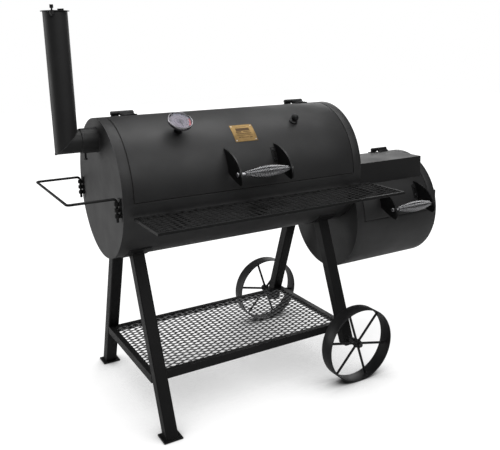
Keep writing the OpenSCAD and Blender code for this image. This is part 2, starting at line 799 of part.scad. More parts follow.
// A washer and a cotter pin outside each wheel
module axle_keepers() color("#8c8c8e") in_frame() for (s = [0, 1]) mirror([0, s, 0])
  translate([leg_right_x, 0, wheel_r]) {
    translate([0, keeper_y, 0]) cylinder(d = keeper_d, h = 2 * keeper_half_l, center = true);
    difference() {
      rod_y(washer_d / 2, wheel_y + hub_l / 2 + slide_gap, wheel_y + hub_l / 2 + slide_gap + washer_t);
      rod_y(axle_d / 2 + hole_gap, wheel_y, axle_half_l);
    }
  }

module wheel(side) translate([leg_right_x, side * wheel_y, wheel_r]) difference() {
  union() {
    difference() {
      rod_y(wheel_r, -rim_w / 2, rim_w / 2);
      rod_y(wheel_r - rim_t, -rim_w / 2 - 1, rim_w / 2 + 1);
    }
    for (i = [0:spokes - 1]) rotate([0, spoke_turn + i * 360 / spokes, 0]) translate([0, 0, axle_d / 2 + 3])
      cylinder(d = spoke_d, h = wheel_r - rim_t / 2 - axle_d / 2 - 3);
    rod_y(hub_d / 2, -hub_l / 2, hub_l / 2);
  }
  rod_y(axle_d / 2 + turn_gap, -hub_l, hub_l);
}

module wheel_front() color("#18181a") in_frame() wheel(-1);
module wheel_rear() color("#18181a") in_frame() wheel(1);

// --- Firebox --------------------------------------------------------------------------------

module firebox_shell() color("#1c1c1d") in_frame() at_firebox() difference() {
  rod_x(firebox_r, barrel_l + sheet, firebox_end_x - sheet);
  rod_x(firebox_r - sheet, barrel_l, firebox_end_x);
  arc_band(firebox_r - 2 * sheet, firebox_r + sheet, barrel_l + firebox_band_w,
    firebox_end_x - firebox_band_w, firebox_front_a - seam_a(firebox_r),
    firebox_back_a + seam_a(firebox_r));
}

module firebox_end_left() color("#1e1e1f") in_frame() difference() {
  at_firebox() rod_x(firebox_r, barrel_l, barrel_l + sheet);
  throat();
  joint_bolt_holes();
}

// Fuel and ash go through the opening that the side door covers
module firebox_end_right() color("#1c1c1d") in_frame() difference() {
  at_firebox() rod_x(firebox_r, firebox_end_x - sheet, firebox_end_x);
  translate([firebox_end_x - 2 * sheet, -door_half_w + 2 * fuel_edge, firebox_h - door_down + fuel_edge])
    cube([4 * sheet, 2 * door_half_w - 4 * fuel_edge, door_up + door_down - 2 * fuel_edge]);
}

module firebox_stop_strips() color("#151515") in_frame() at_firebox()
  stop_set(firebox_r - sheet, barrel_l + firebox_band_w, firebox_end_x - firebox_band_w,
    firebox_front_a, firebox_back_a);

module firebox_bolts() color("#2f2f30") in_frame() for (p = joint_bolts) translate([0, p[0], p[1]]) {
  rod_x(bolt_d / 2, barrel_l - sheet - bolt_head_t, barrel_l + sheet + bolt_head_t + 3);
  translate([barrel_l - sheet - bolt_head_t, 0, 0]) rotate([0, 90, 0])
    cylinder(d = bolt_head_d, h = bolt_head_t, $fn = 6);
  translate([barrel_l + sheet, 0, 0]) rotate([0, 90, 0])
    cylinder(d = bolt_head_d, h = bolt_head_t, $fn = 6);
}

module door_hinge_lug() color("#131313") in_frame() translate([0, 0, firebox_h]) difference() {
  half = door_knuckle_l / 2 - slide_gap;
  union() {
    translate([door_pin_x, door_pin_y, -half]) cylinder(d = door_knuckle_d, h = 2 * half);
    translate([firebox_end_x, door_half_w + 3, -half])
      cube([door_pin_x - firebox_end_x, firebox_r - 2 - door_half_w - 3, 2 * half]);
  }
  translate([door_pin_x, door_pin_y, -half - 1]) cylinder(d = door_pin_d, h = 2 * half + 2);
}

// --- Grates ---------------------------------------------------------------------------------

// A flat grate with open slots across its depth
module slotted_grate(l, w, t, bar, slots) {
  slot = (l - (slots + 1) * bar) / slots;
  rim = [[0, 0], [l, 0], [l, w], [0, w]];
  cuts = [for (i = [0:slots - 1]) let (x = bar + i * (slot + bar))
    each [[x, 2 * bar], [x + slot, 2 * bar], [x + slot, w - 2 * bar], [x, w - 2 * bar]]];
  loops = [for (k = [0:slots]) [4 * k, 4 * k + 1, 4 * k + 2, 4 * k + 3]];
  linear_extrude(height = t) polygon(concat(rim, cuts), loops);
}

module cooking_grates() color("#3b3b3c") in_frame() for (i = [0:grate_count - 1])
  translate([sheet + grate_end_gap + i * (grate_l + grate_gap), -grate_half_w, grate_top - grate_t])
    slotted_grate(grate_l, 2 * grate_half_w, grate_t, grate_bar, grate_slots);

module charcoal_grate() color("#3a3a3b") in_frame()
  translate([barrel_l + sheet + charcoal_end_gap, -charcoal_half_w, firebox_h - charcoal_drop - charcoal_t])
    slotted_grate(firebox_l - 2 * sheet - 2 * charcoal_end_gap, 2 * charcoal_half_w, charcoal_t,
      charcoal_bar, charcoal_slots);

// Where a rail leaves room for the stop strip under the barrel lid's front edge
module stop_room() {
  inner = barrel_r - sheet;
  arc_band(inner - stop_t - 2 * hair, inner + 1, band_w - stop_lap - 1, barrel_l - band_w + stop_lap + 1,
    lid_front_a - stop_below_a - hair, lid_front_a + stop_above_a + hair);
}

// A flat rail along each side wall, just under a grate
module side_rails(r, drop, half_w, x0, x1) intersection() {
  rod_x(r, x0, x1);
  for (s = [0, 1]) mirror([0, s, 0]) translate([x0, half_w - rail_w, -drop - shelf_rail_t])
    cube([x1 - x0, 3 * rail_w, shelf_rail_t]);
}

module grate_rails() color("#1a1a1b") in_frame() {
  at_barrel() difference() {
    side_rails(barrel_r - sheet, grate_drop + grate_t, grate_half_w,
      sheet + grate_end_gap, barrel_l - sheet - grate_end_gap);
    stop_room();
  }
  at_firebox() side_rails(firebox_r - sheet, charcoal_drop + charcoal_t, charcoal_half_w,
    barrel_l + sheet + charcoal_end_gap, firebox_end_x - sheet - charcoal_end_gap);
}

module grease_drain() color("#101010") in_frame()
  translate([drain_x, 0, barrel_axis_h - barrel_r - drain_l]) difference() {
    union() {
      cylinder(d = drain_d, h = drain_l + sheet);
      cylinder(d = drain_d + 8, h = 8);
    }
    translate([0, 0, -1]) cylinder(d = drain_d - 6, h = drain_l + sheet + 2);
  }

// --- Barrel lid -----------------------------------------------------------------------------

module lid_panel() color("#2a2a2b") in_frame() difference() {
  at_barrel() arc_band(barrel_r - sheet, barrel_r, lid_x0, lid_x1, lid_front_a, lid_back_a);
  on_lid(thermo_x, thermo_a) cylinder(d = probe_d + 1, h = 60, center = true);
  on_lid(port_x, port_a) cylinder(d = port_hole_d + 2 * hole_gap, h = 60, center = true);
}

module lid_hinge_leaves() color("#141414") in_frame()
  for (x = barrel_hinges) at_barrel() lid_hinge(barrel_r, lid_back_a, x, barrel_leaf_a);

// Children are (height, up) outlines on the skin of a barrel of radius r
module on_skin(r, a) rotate(-a) mirror([1, 0]) translate([r, 0]) children();

module fin(r, a, x, foot_side) {
  up = fin_root / r * 180 / PI;
  foot_x = foot_side > 0 ? x + fin_t / 2 : x + fin_t / 2 - fin_foot_w;
  difference() {
    union() {
      along_x(x, fin_t) on_skin(r, a) polygon(fin_outline);
      arc_band(r - sheet, r + sheet, foot_x, foot_x + fin_foot_w, a + 0.25 * up, a + 0.85 * up);
    }
    rod_x(r, x - 2 * fin_foot_w, x + 2 * fin_foot_w);
    along_x(x - 1, fin_t + 2) on_skin(r, a) translate([grip_out, 0])
      circle(r = grip_bolt_d / 2 + hole_gap);
  }
}

module fin_pair(r, a, x) {
  fin(r, a, x, 1);
  fin(r, a, x + grip_span - fin_t, -1);
}

// Moves a piece drawn along x from 0 to where the grip's rod runs
module at_grip(r, a, x) {
  p = polar(r + grip_out, a);
  translate([x, p[0], p[1]]) children();
}

module grip_bolt(r, a, x) at_grip(r, a, x) {
  rod_x(grip_bolt_d / 2, -grip_head_t, grip_span + grip_head_t);
  rod_x(grip_head_d / 2, -grip_head_t, 0);
  rod_x(grip_head_d / 2, grip_span, grip_span + grip_head_t);
}

// The coil stands against the right fin and leaves some of the rod bare at the left
module grip_coil(r, a, x) at_grip(r, a, x + fin_t + grip_end_gap + grip_slack) rotate([0, 90, 0])
  rotate_extrude() polygon(coil_outline);

module lid_handle_fins() color("#0f0f0f") in_frame() at_barrel()
  fin_pair(barrel_r, barrel_grip_a, barrel_grip_x);

module lid_handle_bolt() color("#a9a9ab") in_frame() at_barrel()
  grip_bolt(barrel_r, barrel_grip_a, barrel_grip_x);

module lid_handle_coil() color("#9c9c9e") in_frame() at_barrel()
  grip_coil(barrel_r, barrel_grip_a, barrel_grip_x);

module thermometer_case() color("#b8b8ba") in_frame() difference() {
  on_lid(thermo_x, thermo_a) difference() {
    union() {
      translate([0, 0, -probe_l]) cylinder(d = probe_d, h = probe_l + 2);
      translate([0, 0, -4]) cylinder(d = 30, h = 16);
      cylinder(d = 20, h = dial_base + 1);
      translate([0, 0, dial_base]) cylinder(d = dial_d, h = glass_low + glass_t - dial_base);
    }
    translate([0, 0, dial_base + 3]) cylinder(d = dial_d - 5, h = glass_low + glass_t);
  }
  at_barrel() difference() {
    rod_x(barrel_r, thermo_x - 30, thermo_x + 30);
    probe_room();
  }
}

// Keeps the probe where the lid's skin would be cut away from the case
module probe_room() translate([thermo_x, 0, 0]) rotate([90 - thermo_a, 0, 0])
  cylinder(d = probe_d + weld, h = 2 * barrel_r);

module thermometer_dial() color("#d9d3dc") in_frame() on_lid(thermo_x, thermo_a) difference() {
  translate([0, 0, dial_base + 3]) cylinder(d = dial_d - 5, h = dial_face - dial_base - 3);
  translate([0, 0, dial_base]) cylinder(r = 1.5 + turn_gap, h = dial_face);
}

module thermometer_glass() color("#eef2f4", 0.3) in_frame() on_lid(thermo_x, thermo_a)
  translate([0, 0, glass_low]) cylinder(d = dial_d - 5, h = glass_t);

module thermometer_needle() color("#2a1a30") in_frame() on_lid(thermo_x, thermo_a) {
  translate([0, 0, dial_base + 4]) cylinder(r = 1.5, h = dial_face - dial_base - 1);
  translate([0, 0, dial_face + 1.4]) cylinder(r = 4, h = 1.2);
  translate([0, 0, dial_face + 1.4]) linear_extrude(height = 0.8)
    polygon([[-2, 9], [2, 9], [1, -32], [-1, -32]]);
}

module badge_plate() color("#c39a4a") in_frame() at_barrel()
  arc_band(barrel_r, barrel_r + badge_t, badge_x, badge_x + badge_w, badge_a[0], badge_a[1]);

module port_plug() color("#0e0e0e") in_frame() {
  on_lid(port_x, port_a) translate([0, 0, -12]) cylinder(d = port_hole_d, h = 14);
  difference() {
    on_lid(port_x, port_a) {
      translate([0, 0, -4]) cylinder(d = port_d, h = 16);
      translate([0, 0, 10]) cylinder(d = port_d - 6, h = 26);
    }
    at_barrel() rod_x(barrel_r, port_x - port_d, port_x + port_d);
  }
}

// --- Firebox lid ----------------------------------------------------------------------------

module firebox_lid_panel() color("#252526") in_frame() at_firebox()
  arc_band(firebox_r - sheet, firebox_r, firebox_lid_x0, firebox_lid_x1, firebox_front_a, firebox_back_a);

// A squared steel cap on the lid whose flat top keeps food warm
module warming_box() color("#3a3a3b") in_frame() at_firebox() difference() {
  translate([warming_x0, -warming_y, warming_rest - warming_lap])
    cube([warming_x1 - warming_x0, warming_y + warming_back_y, warming_top - warming_rest + warming_lap]);
  translate([warming_x0 + sheet, sheet - warming_y, 0])
    cube([warming_x1 - warming_x0 - 2 * sheet, warming_y + warming_back_y - 2 * sheet, warming_top - sheet]);
  rod_x(firebox_r, warming_x0 - 1, warming_x1 + 1);
}

module firebox_hinge_leaves() color("#141414") in_frame() for (x = firebox_hinges)
  at_firebox() lid_hinge(firebox_r, firebox_back_a, x, firebox_leaf_a);

module firebox_handle_fins() color("#0f0f0f") in_frame() at_firebox()
  fin_pair(firebox_r, firebox_grip_a, firebox_grip_x);

module firebox_handle_bolt() color("#a9a9ab") in_frame() at_firebox()
  grip_bolt(firebox_r, firebox_grip_a, firebox_grip_x);

module firebox_handle_coil() color("#9c9c9e") in_frame() at_firebox()
  grip_coil(firebox_r, firebox_grip_a, firebox_grip_x);

// --- Side door ------------------------------------------------------------------------------

module vent_openings(x0, x1) for (y = vent_slots)
  translate([x0, vent_y + y - vent_slot_w / 2, firebox_h - vent_h / 2 + 10])
    cube([x1 - x0, vent_slot_w, vent_h - 20]);

module side_door() color("#1a1a1b") in_frame() {
  leaf_low = 1.5 * door_knuckle_l;
  tall = door_up + door_down;
  difference() {
    translate([door_x0, -door_half_w, firebox_h - door_down])
      cube([door_depth, 2 * door_half_w, tall]);
    translate([door_x0 - 1, door_sheet - door_half_w, firebox_h - door_down + door_sheet])
      cube([door_depth + 1 - door_sheet, 2 * (door_half_w - door_sheet), tall - 2 * door_sheet]);
    vent_openings(door_x0 - 1, door_x1 + 1);
  }
  // Hinge leaf with a knuckle above and below the fixed one
  for (s = [-1, 1]) translate([0, 0, firebox_h + s * door_knuckle_l]) difference() {
    union() {
      translate([door_x1, door_half_w - 40, -door_knuckle_l / 2]) cube([3, 49, door_knuckle_l]);
      translate([door_pin_x, door_pin_y, -door_knuckle_l / 2])
        cylinder(d = door_knuckle_d, h = door_knuckle_l);
    }
    translate([door_pin_x, door_pin_y, -leaf_low])
      cylinder(r = door_pin_d / 2 + turn_gap, h = 2 * leaf_low);
  }
  // Guides that hold the air vent's plate
  for (s = [-1, 1])
    translate([door_x1, vent_y - vent_half_w - guide_past, firebox_h])
      translate([0, 0, s * (vent_h / 2 + guide_t / 2 + slide_gap)]) guide(s);
}

// An angle strip whose lip hangs over the vent plate's edge
module guide(s) {
  length = 2 * vent_half_w + 2 * guide_past + vent_pitch / 2;
  lip = vent_t + 2 * slide_gap;
  translate([0, 0, -guide_t / 2]) cube([lip + 2, length, guide_t]);
  translate([lip, 0, s > 0 ? -guide_t / 2 - guide_lip : -guide_t / 2]) cube([2, length, guide_t + guide_lip]);
}

module side_door_handle() color("#121212") in_frame()
  translate([door_x1, -door_grip_y, firebox_h + 7]) {
    for (s = [-1, 1]) translate([0, 0, s * door_grip_half_h]) rod_x(door_arm_d / 2, 0, door_grip_out);
    translate([door_grip_out, 0, -door_grip_half_h - door_rod_d / 2])
      cylinder(d = door_rod_d, h = 2 * door_grip_half_h + door_rod_d);
  }

module air_vent() color("#2a2a2b") in_frame() {
  difference() {
    translate([door_x1 + slide_gap, vent_y - vent_half_w, firebox_h - vent_h / 2])
      cube([vent_t, 2 * vent_half_w, vent_h]);
    vent_openings(door_x1, door_x1 + 10);
  }
  translate([0, vent_y - vent_half_w + 10, firebox_h]) rod_x(5, door_x1 + slide_gap + vent_t, door_x1 + 14);
}

barrel_shell();
barrel_end_left();
barrel_end_right();
barrel_stop_strips();
hinge_knuckles();
hinge_pins();
stack_collar();
stack_elbow();
stack_tube();
stack_set_bolt();
damper_bolt();
lift_handle();
lift_handle_brackets();
work_shelf_frame();
work_shelf_mesh();
work_shelf_brackets();
leg_front_left();
leg_front_right();
leg_rear_left();
leg_rear_right();
foot_plates();
leg_saddles();
lower_shelf_frame();
lower_shelf_mesh();
shelf_bolts();
axle();
axle_keepers();
firebox_shell();
firebox_end_left();
firebox_end_right();
firebox_stop_strips();
firebox_bolts();
cooking_grates();
grate_rails();
charcoal_grate();
grease_drain();
door_hinge_lug();
lid_panel();
lid_hinge_leaves();
lid_handle_fins();
lid_handle_bolt();
lid_handle_coil();
thermometer_case();
thermometer_dial();
thermometer_glass();
thermometer_needle();
badge_plate();
port_plug();
firebox_lid_panel();
warming_box();
firebox_hinge_leaves();
firebox_handle_fins();
firebox_handle_bolt();
firebox_handle_coil();
side_door();
side_door_handle();
air_vent();
stack_damper();
wheel_front();
wheel_rear();
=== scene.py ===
# %% [markdown]
# # A barrel charcoal grill with an offset firebox
# A rolled steel barrel with a hinged lid stands on four leaning legs. A smaller barrel, the firebox,
# is bolted to its right end, and a chimney leaves its left end. The CAD frame holds the real sizes
# and everything that moves, so this script starts by loading it and measuring it.

# %% Load the frame
import json
import math

import bmesh
import bpy
from mathutils import Matrix, Vector


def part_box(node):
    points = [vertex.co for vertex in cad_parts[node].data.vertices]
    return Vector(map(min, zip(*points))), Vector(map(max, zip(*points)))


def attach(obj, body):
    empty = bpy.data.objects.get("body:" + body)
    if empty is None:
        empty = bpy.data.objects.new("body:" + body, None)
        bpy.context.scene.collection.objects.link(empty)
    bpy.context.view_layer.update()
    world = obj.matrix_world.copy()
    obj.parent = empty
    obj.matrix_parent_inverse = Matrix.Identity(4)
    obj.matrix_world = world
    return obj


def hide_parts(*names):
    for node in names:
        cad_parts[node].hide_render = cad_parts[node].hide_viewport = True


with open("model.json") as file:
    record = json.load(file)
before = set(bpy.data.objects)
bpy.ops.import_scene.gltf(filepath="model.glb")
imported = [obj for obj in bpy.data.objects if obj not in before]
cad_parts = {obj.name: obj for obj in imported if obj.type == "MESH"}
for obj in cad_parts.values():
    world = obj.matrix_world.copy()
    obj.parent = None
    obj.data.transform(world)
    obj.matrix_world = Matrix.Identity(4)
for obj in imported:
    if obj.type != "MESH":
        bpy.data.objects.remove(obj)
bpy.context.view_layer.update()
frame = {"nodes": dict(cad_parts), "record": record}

MM = 0.001
scene = bpy.context.scene

# %% [markdown]
# Every place and size below is read from the boxes of the CAD pieces. These three helpers keep that
# short: the lowest corner, the highest corner and the middle of a piece.

# %% Measure pieces
def low(node):
    return Vector(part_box(node)[0])


def high(node):
    return Vector(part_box(node)[1])


def middle(node):
    return (low(node) + high(node)) / 2


barrel_axis = middle("barrel_end_left")
barrel_r = (high("barrel_end_left").z - low("barrel_end_left").z) / 2
firebox_axis = middle("firebox_end_left")
firebox_r = (high("firebox_end_left").z - low("firebox_end_left").z) / 2
barrel_x = (low("barrel_end_left").x, high("barrel_end_right").x)
firebox_x = (low("firebox_end_left").x, high("firebox_end_right").x)
sheet = high("barrel_end_left").x - low("barrel_end_left").x
print(f"barrel radius {barrel_r:.3f}, firebox radius {firebox_r:.3f}, sheet {sheet:.4f}")

# %% [markdown]
# ## Camera
# The camera stands in front of the chimney end, a little above the lid, and looks down by 13 degrees.
# Turning matrices are multiplied in the order a tripod works: pan, tilt, then a slight roll.

# %% Camera
CAMERA_PLACE = Vector((-1.2953, -2.2585, 1.3404))
CAMERA_PAN, CAMERA_TILT, CAMERA_ROLL = math.radians(-31.1), math.radians(77.1), math.radians(-0.9)
camera_data = bpy.data.cameras.new("camera")
camera_data.sensor_width = 36.0
camera_data.lens = 47.3
camera_data.shift_x = -0.054
camera_data.shift_y = -0.064
camera = bpy.data.objects.new("camera", camera_data)
camera.matrix_world = (
    Matrix.Translation(CAMERA_PLACE)
    @ Matrix.Rotation(CAMERA_PAN, 4, "Z")
    @ Matrix.Rotation(CAMERA_TILT, 4, "X")
    @ Matrix.Rotation(CAMERA_ROLL, 4, "Z")
)
scene.collection.objects.link(camera)
scene.camera = camera
print("camera lens", camera_data.lens, "mm")

# %% [markdown]
# ## Studio
# Dark satin enamel shows only what it reflects. A wide soft light above gives the lid its bright top,
# and one high in front keeps the curve below it from going black. Two soft panels stand behind the
# grill at its left and right, so the end plate and the tubes catch a pale sheen.

# %% Studio lights
def soft_light(name, place, aim, width, height, power):
    data = bpy.data.lights.new(name, "AREA")
    data.shape = "RECTANGLE"
    data.size, data.size_y = width, height
    data.energy = power
    light = bpy.data.objects.new(name, data)
    direction = Vector(aim) - Vector(place)
    light.matrix_world = Matrix.Translation(place) @ direction.to_track_quat("-Z", "Y").to_matrix().to_4x4()
    scene.collection.objects.link(light)
    return light


soft_light("light_above", (0.0, 0.25, 3.3), (0.0, 0.0, 0.7), 3.8, 1.8, 58.0)
soft_light("light_back_left", (-3.4, 2.3, 1.2), (-0.6, 0.0, 0.8), 2.6, 2.4, 44.0)
soft_light("light_back_right", (3.0, 3.0, 1.8), (0.4, 0.0, 0.6), 2.0, 2.0, 26.0)
soft_light("light_front", (0.3, -3.0, 3.3), (0.1, 0.0, 0.7), 4.2, 1.8, 64.0)

# %% [markdown]
# The room is white for the camera and dim for everything else. The floor does the same: the camera
# sees it as plain white, with no horizon, except where the grill stands so close above it that little
# of the room is open to it. There an ambient occlusion node darkens it softly: a painted contact
# shadow, which the lights do not cast. The light that it throws back at the grill is that of a plain
# pale floor.

# %% White room and floor
ROOM_FILL = 0.09
world = bpy.data.worlds.new("studio")
scene.world = world
world.use_nodes = True
room = world.node_tree.nodes["Background"]
room.inputs["Color"].default_value = (1.0, 1.0, 1.0, 1.0)
seen = world.node_tree.nodes.new("ShaderNodeLightPath")
level = world.node_tree.nodes.new("ShaderNodeMapRange")
level.inputs["To Min"].default_value = ROOM_FILL
level.inputs["To Max"].default_value = 1.0
world.node_tree.links.new(seen.outputs["Is Camera Ray"], level.inputs["Value"])
world.node_tree.links.new(level.outputs["Result"], room.inputs["Strength"])

FLOOR_HALF = 12.0
floor_mesh = bpy.data.meshes.new("floor")
floor_corners = [(x * FLOOR_HALF, y * FLOOR_HALF, 0.0) for x, y in ((-1, -1), (1, -1), (1, 1), (-1, 1))]
floor_mesh.from_pydata(floor_corners, [], [(0, 1, 2, 3)])
floor = bpy.data.objects.new("floor", floor_mesh)
scene.collection.objects.link(floor)
floor_paint = bpy.data.materials.new("floor_paint")
floor_paint.use_nodes = True
tree = floor_paint.node_tree
matt = tree.nodes["Principled BSDF"]
matt.inputs["Base Color"].default_value = (0.80, 0.80, 0.80, 1.0)
matt.inputs["Roughness"].default_value = 0.9
white = tree.nodes.new("ShaderNodeEmission")
# Painted contact shadow: ambient occlusion darkens the white that the camera sees where the grill stands
# close above the floor.
openness = tree.nodes.new("ShaderNodeAmbientOcclusion")
openness.samples = 16
openness.inputs["Distance"].default_value = 0.42
painted_contact_shadow = tree.nodes.new("ShaderNodeMapRange")
for socket, value in (("From Min", 0.30), ("From Max", 0.90), ("To Min", 0.0), ("To Max", 1.25)):
    painted_contact_shadow.inputs[socket].default_value = value
tree.links.new(openness.outputs["AO"], painted_contact_shadow.inputs["Value"])
tree.links.new(painted_contact_shadow.outputs["Result"], white.inputs["Strength"])
distance = tree.nodes.new("ShaderNodeVectorMath")
distance.operation = "LENGTH"
footprint = tree.nodes.new("ShaderNodeMapping")
footprint.inputs["Scale"].default_value = (0.6, 1.0, 1.0)
fade = tree.nodes.new("ShaderNodeMapRange")
fade.interpolation_type = "SMOOTHSTEP"
for socket, value in (("From Min", 0.4), ("From Max", 2.0), ("To Min", 0.80), ("To Max", 1.0)):
    fade.inputs[socket].default_value = value
seen = tree.nodes.new("ShaderNodeLightPath")
share = tree.nodes.new("ShaderNodeMath")
share.operation = "MULTIPLY"
blend = tree.nodes.new("ShaderNodeMixShader")
tree.links.new(tree.nodes.new("ShaderNodeTexCoord").outputs["Object"], footprint.inputs["Vector"])
tree.links.new(footprint.outputs["Vector"], distance.inputs[0])
tree.links.new(distance.outputs["Value"], fade.inputs["Value"])
tree.links.new(fade.outputs["Result"], share.inputs[0])
tree.links.new(seen.outputs["Is Camera Ray"], share.inputs[1])
tree.links.new(share.outputs["Value"], blend.inputs[0])
tree.links.new(matt.outputs[0], blend.inputs[1])
tree.links.new(white.outputs[0], blend.inputs[2])
tree.links.new(blend.outputs[0], tree.nodes["Material Output"].inputs["Surface"])
floor_mesh.materials.append(floor_paint)
scene.view_settings.view_transform = "Standard"
print("floor half width", FLOOR_HALF, "m")

# %% [markdown]
# ## Finishes
# A finish is a small net of nodes. One helper adds a node and sets its inputs, another adds noise
# that is read in the piece's own coordinates, so it stays put when the piece moves.

# %% Helpers for finishes
def new_finish(name, color, roughness, metallic=0.0):
    """A new material with its Principled shader's plain values set."""
    finish = bpy.data.materials.new(name)
    finish.use_nodes = True
    shader = finish.node_tree.nodes["Principled BSDF"]
    shader.inputs["Base Color"].default_value = (*color, 1.0)
    shader.inputs["Roughness"].default_value = roughness
    shader.inputs["Metallic"].default_value = metallic
    return finish, shader


def add(finish, kind, **inputs):
    """A node of that kind; inputs are sockets by name, with _ for a space."""
    node = finish.node_tree.nodes.new(kind)
    for key, value in inputs.items():
        socket = node.inputs[key.replace("_", " ")]
        if hasattr(value, "is_output"):
            finish.node_tree.links.new(value, socket)
        else:
            socket.default_value = value
    return node


def join(finish, output, socket):
    finish.node_tree.links.new(output, socket)


def object_place(finish):
    return add(finish, "ShaderNodeTexCoord").outputs["Object"]


def noise(finish, place, scale, detail=3.0, stretch=(1.0, 1.0, 1.0)):
    """Even grey noise; stretch scales its coordinates along x, y and z."""
    mapping = add(finish, "ShaderNodeMapping", Vector=place, Scale=stretch)
    cloud = add(finish, "ShaderNodeTexNoise", Vector=mapping.outputs["Vector"], Scale=scale, Detail=detail)
    return cloud.outputs["Fac"]


def spread(finish, value, low_in, high_in, low_out, high_out):
    node = add(finish, "ShaderNodeMapRange", Value=value)
    node.inputs["From Min"].default_value = low_in
    node.inputs["From Max"].default_value = high_in
    node.inputs["To Min"].default_value = low_out
    node.inputs["To Max"].default_value = high_out
    return node.outputs["Result"]


def maths(finish, operation, a, b):
    node = finish.node_tree.nodes.new("ShaderNodeMath")
    node.operation = operation
    node.use_clamp = True
    for socket, value in zip(node.inputs, (a, b)):
        if hasattr(value, "is_output"):
            finish.node_tree.links.new(value, socket)
        else:
            socket.default_value = value
    return node.outputs["Value"]


def mix_color(finish, factor, a, b):
    node = finish.node_tree.nodes.new("ShaderNodeMix")
    node.data_type = "RGBA"
    for index, value in ((0, factor), (6, a), (7, b)):
        if hasattr(value, "is_output"):
            finish.node_tree.links.new(value, node.inputs[index])
        elif index:
            node.inputs[index].default_value = (*value, 1.0)
        else:
            node.inputs[index].default_value = value
    return node.outputs[2]


def bumps(finish, shader, height, strength, distance):
    bump = add(finish, "ShaderNodeBump", Height=height, Strength=strength, Distance=distance)
    join(finish, bump.outputs["Normal"], shader.inputs["Normal"])
    return bump


def edge_mask(finish, radius):
    """1 on corners tighter than radius and 0 on flats, from how far a rounded normal leans."""
    bevel = add(finish, "ShaderNodeBevel", Radius=radius)
    bevel.samples = 4
    flat = add(finish, "ShaderNodeNewGeometry").outputs["Normal"]
    dot = finish.node_tree.nodes.new("ShaderNodeVectorMath")
    dot.operation = "DOT_PRODUCT"
    join(finish, bevel.outputs["Normal"], dot.inputs[0])
    join(finish, flat, dot.inputs[1])
    return spread(finish, dot.outputs["Value"], 0.995, 0.88, 0.0, 1.0)


def facing_up(finish):
    """1 on faces that look up and 0 on the others, in the piece's own axes."""
    normal = add(finish, "ShaderNodeTexCoord").outputs["Normal"]
    parts = add(finish, "ShaderNodeSeparateXYZ", Vector=normal)
    return spread(finish, parts.outputs["Z"], 0.2, 1.0, 0.0, 1.0)


print("finish helpers ready")

# %% [markdown]
# ### Heat-proof enamel
# The barrels are sprayed with a satin black that keeps a fine orange peel. Close up it is never one
# black: broad clouds of tone, a breath of pale dust where a face looks up, fine speckle from
# overspray, and edges where the paint thins to grey. One function makes every paint on the grill.

# %% Paint
def enamel(name, dark, pale, roughness, dust, wear, peel=0.10, shine=0.5):
    finish, shader = new_finish(name, dark, roughness)
    place = object_place(finish)
    clouds = spread(finish, noise(finish, place, 4.0, 4.0), 0.35, 0.7, 0.0, 1.0)
    speckle = spread(finish, noise(finish, place, 420.0, 2.0), 0.60, 0.74, 0.0, 1.0)
    tone = mix_color(finish, clouds, dark, pale)
    dusty = [min(1.0, 2.2 * c + 0.012) for c in pale]
    settled = maths(finish, "MULTIPLY", maths(finish, "MULTIPLY", facing_up(finish), clouds), dust)
    tone = mix_color(finish, settled, tone, dusty)
    tone = mix_color(finish, maths(finish, "MULTIPLY", speckle, 0.18), tone, dusty)
    if wear:
        broken = spread(finish, noise(finish, place, 90.0, 5.0), 0.42, 0.62, 0.0, 1.0)
        worn = maths(finish, "MULTIPLY", maths(finish, "MULTIPLY", edge_mask(finish, 1.6 * MM), broken), wear)
        tone = mix_color(finish, worn, tone, (0.16, 0.16, 0.165))
    join(finish, tone, shader.inputs["Base Color"])
    gloss = spread(finish, noise(finish, place, 11.0, 5.0), 0.3, 0.7, roughness - 0.05, roughness + 0.07)
    join(finish, gloss, shader.inputs["Roughness"])
    bumps(finish, shader, noise(finish, place, 650.0, 2.0), peel, 0.4 * MM)
    shader.inputs["Specular IOR Level"].default_value = shine
    return finish


barrel_paint = enamel("black_enamel", (0.015, 0.015, 0.0155), (0.022, 0.022, 0.0225), 0.52, dust=0.25,
                      wear=0.35)
# A darker, less glossy copy of the barrel's black enamel for the warming box, which shares the barrel's slot:
# its extra darkness is painted shade.
box_paint_painted_shade = enamel("box_enamel_painted_shade", (0.008, 0.008, 0.0083), (0.013, 0.013, 0.0133), 0.52, dust=0.15, wear=0.5,
                   shine=0.38)
frame_paint = enamel("frame_enamel", (0.004, 0.004, 0.0042), (0.008, 0.008, 0.0082), 0.50, dust=0.10,
                     wear=0.6, shine=0.26)
chimney_paint = enamel("chimney_enamel", (0.012, 0.012, 0.0124), (0.018, 0.018, 0.0184), 0.54, dust=0.2,
                       wear=0.4, shine=0.42)
fin_paint = enamel("fin_enamel", (0.004, 0.004, 0.0042), (0.007, 0.007, 0.0073), 0.40, dust=0.12, wear=0.8,
                   shine=0.32)
wheel_paint = enamel("wheel_enamel", (0.007, 0.007, 0.0075), (0.012, 0.012, 0.0125), 0.42, dust=0.3,
                     wear=0.8, shine=0.32)
mesh_paint = enamel("mesh_enamel", (0.003, 0.003, 0.0031), (0.006, 0.006, 0.0062), 0.62, dust=0.08,
                    wear=0.0, peel=0.15, shine=0.18)
# A paler copy of the mesh enamel for the lower shelf: its pale tone is painted light on the open shelf, and
# the mix on its upward faces is dust.
mesh_paint_painted_light = enamel("mesh_enamel_painted_light", (0.06, 0.06, 0.062), (0.13, 0.13, 0.133), 0.30, dust=0.6,
                         wear=0.0, peel=0.15)
axle_paint = enamel("axle_steel", (0.010, 0.010, 0.0105), (0.018, 0.018, 0.019), 0.36, dust=0.2, wear=0.9,
                    shine=0.4)
hardware_paint = enamel("dark_hardware", (0.006, 0.006, 0.0065), (0.010, 0.010, 0.011), 0.36, dust=0.15,
                        wear=0.6, shine=0.35)
print("paints made:", len(bpy.data.materials))

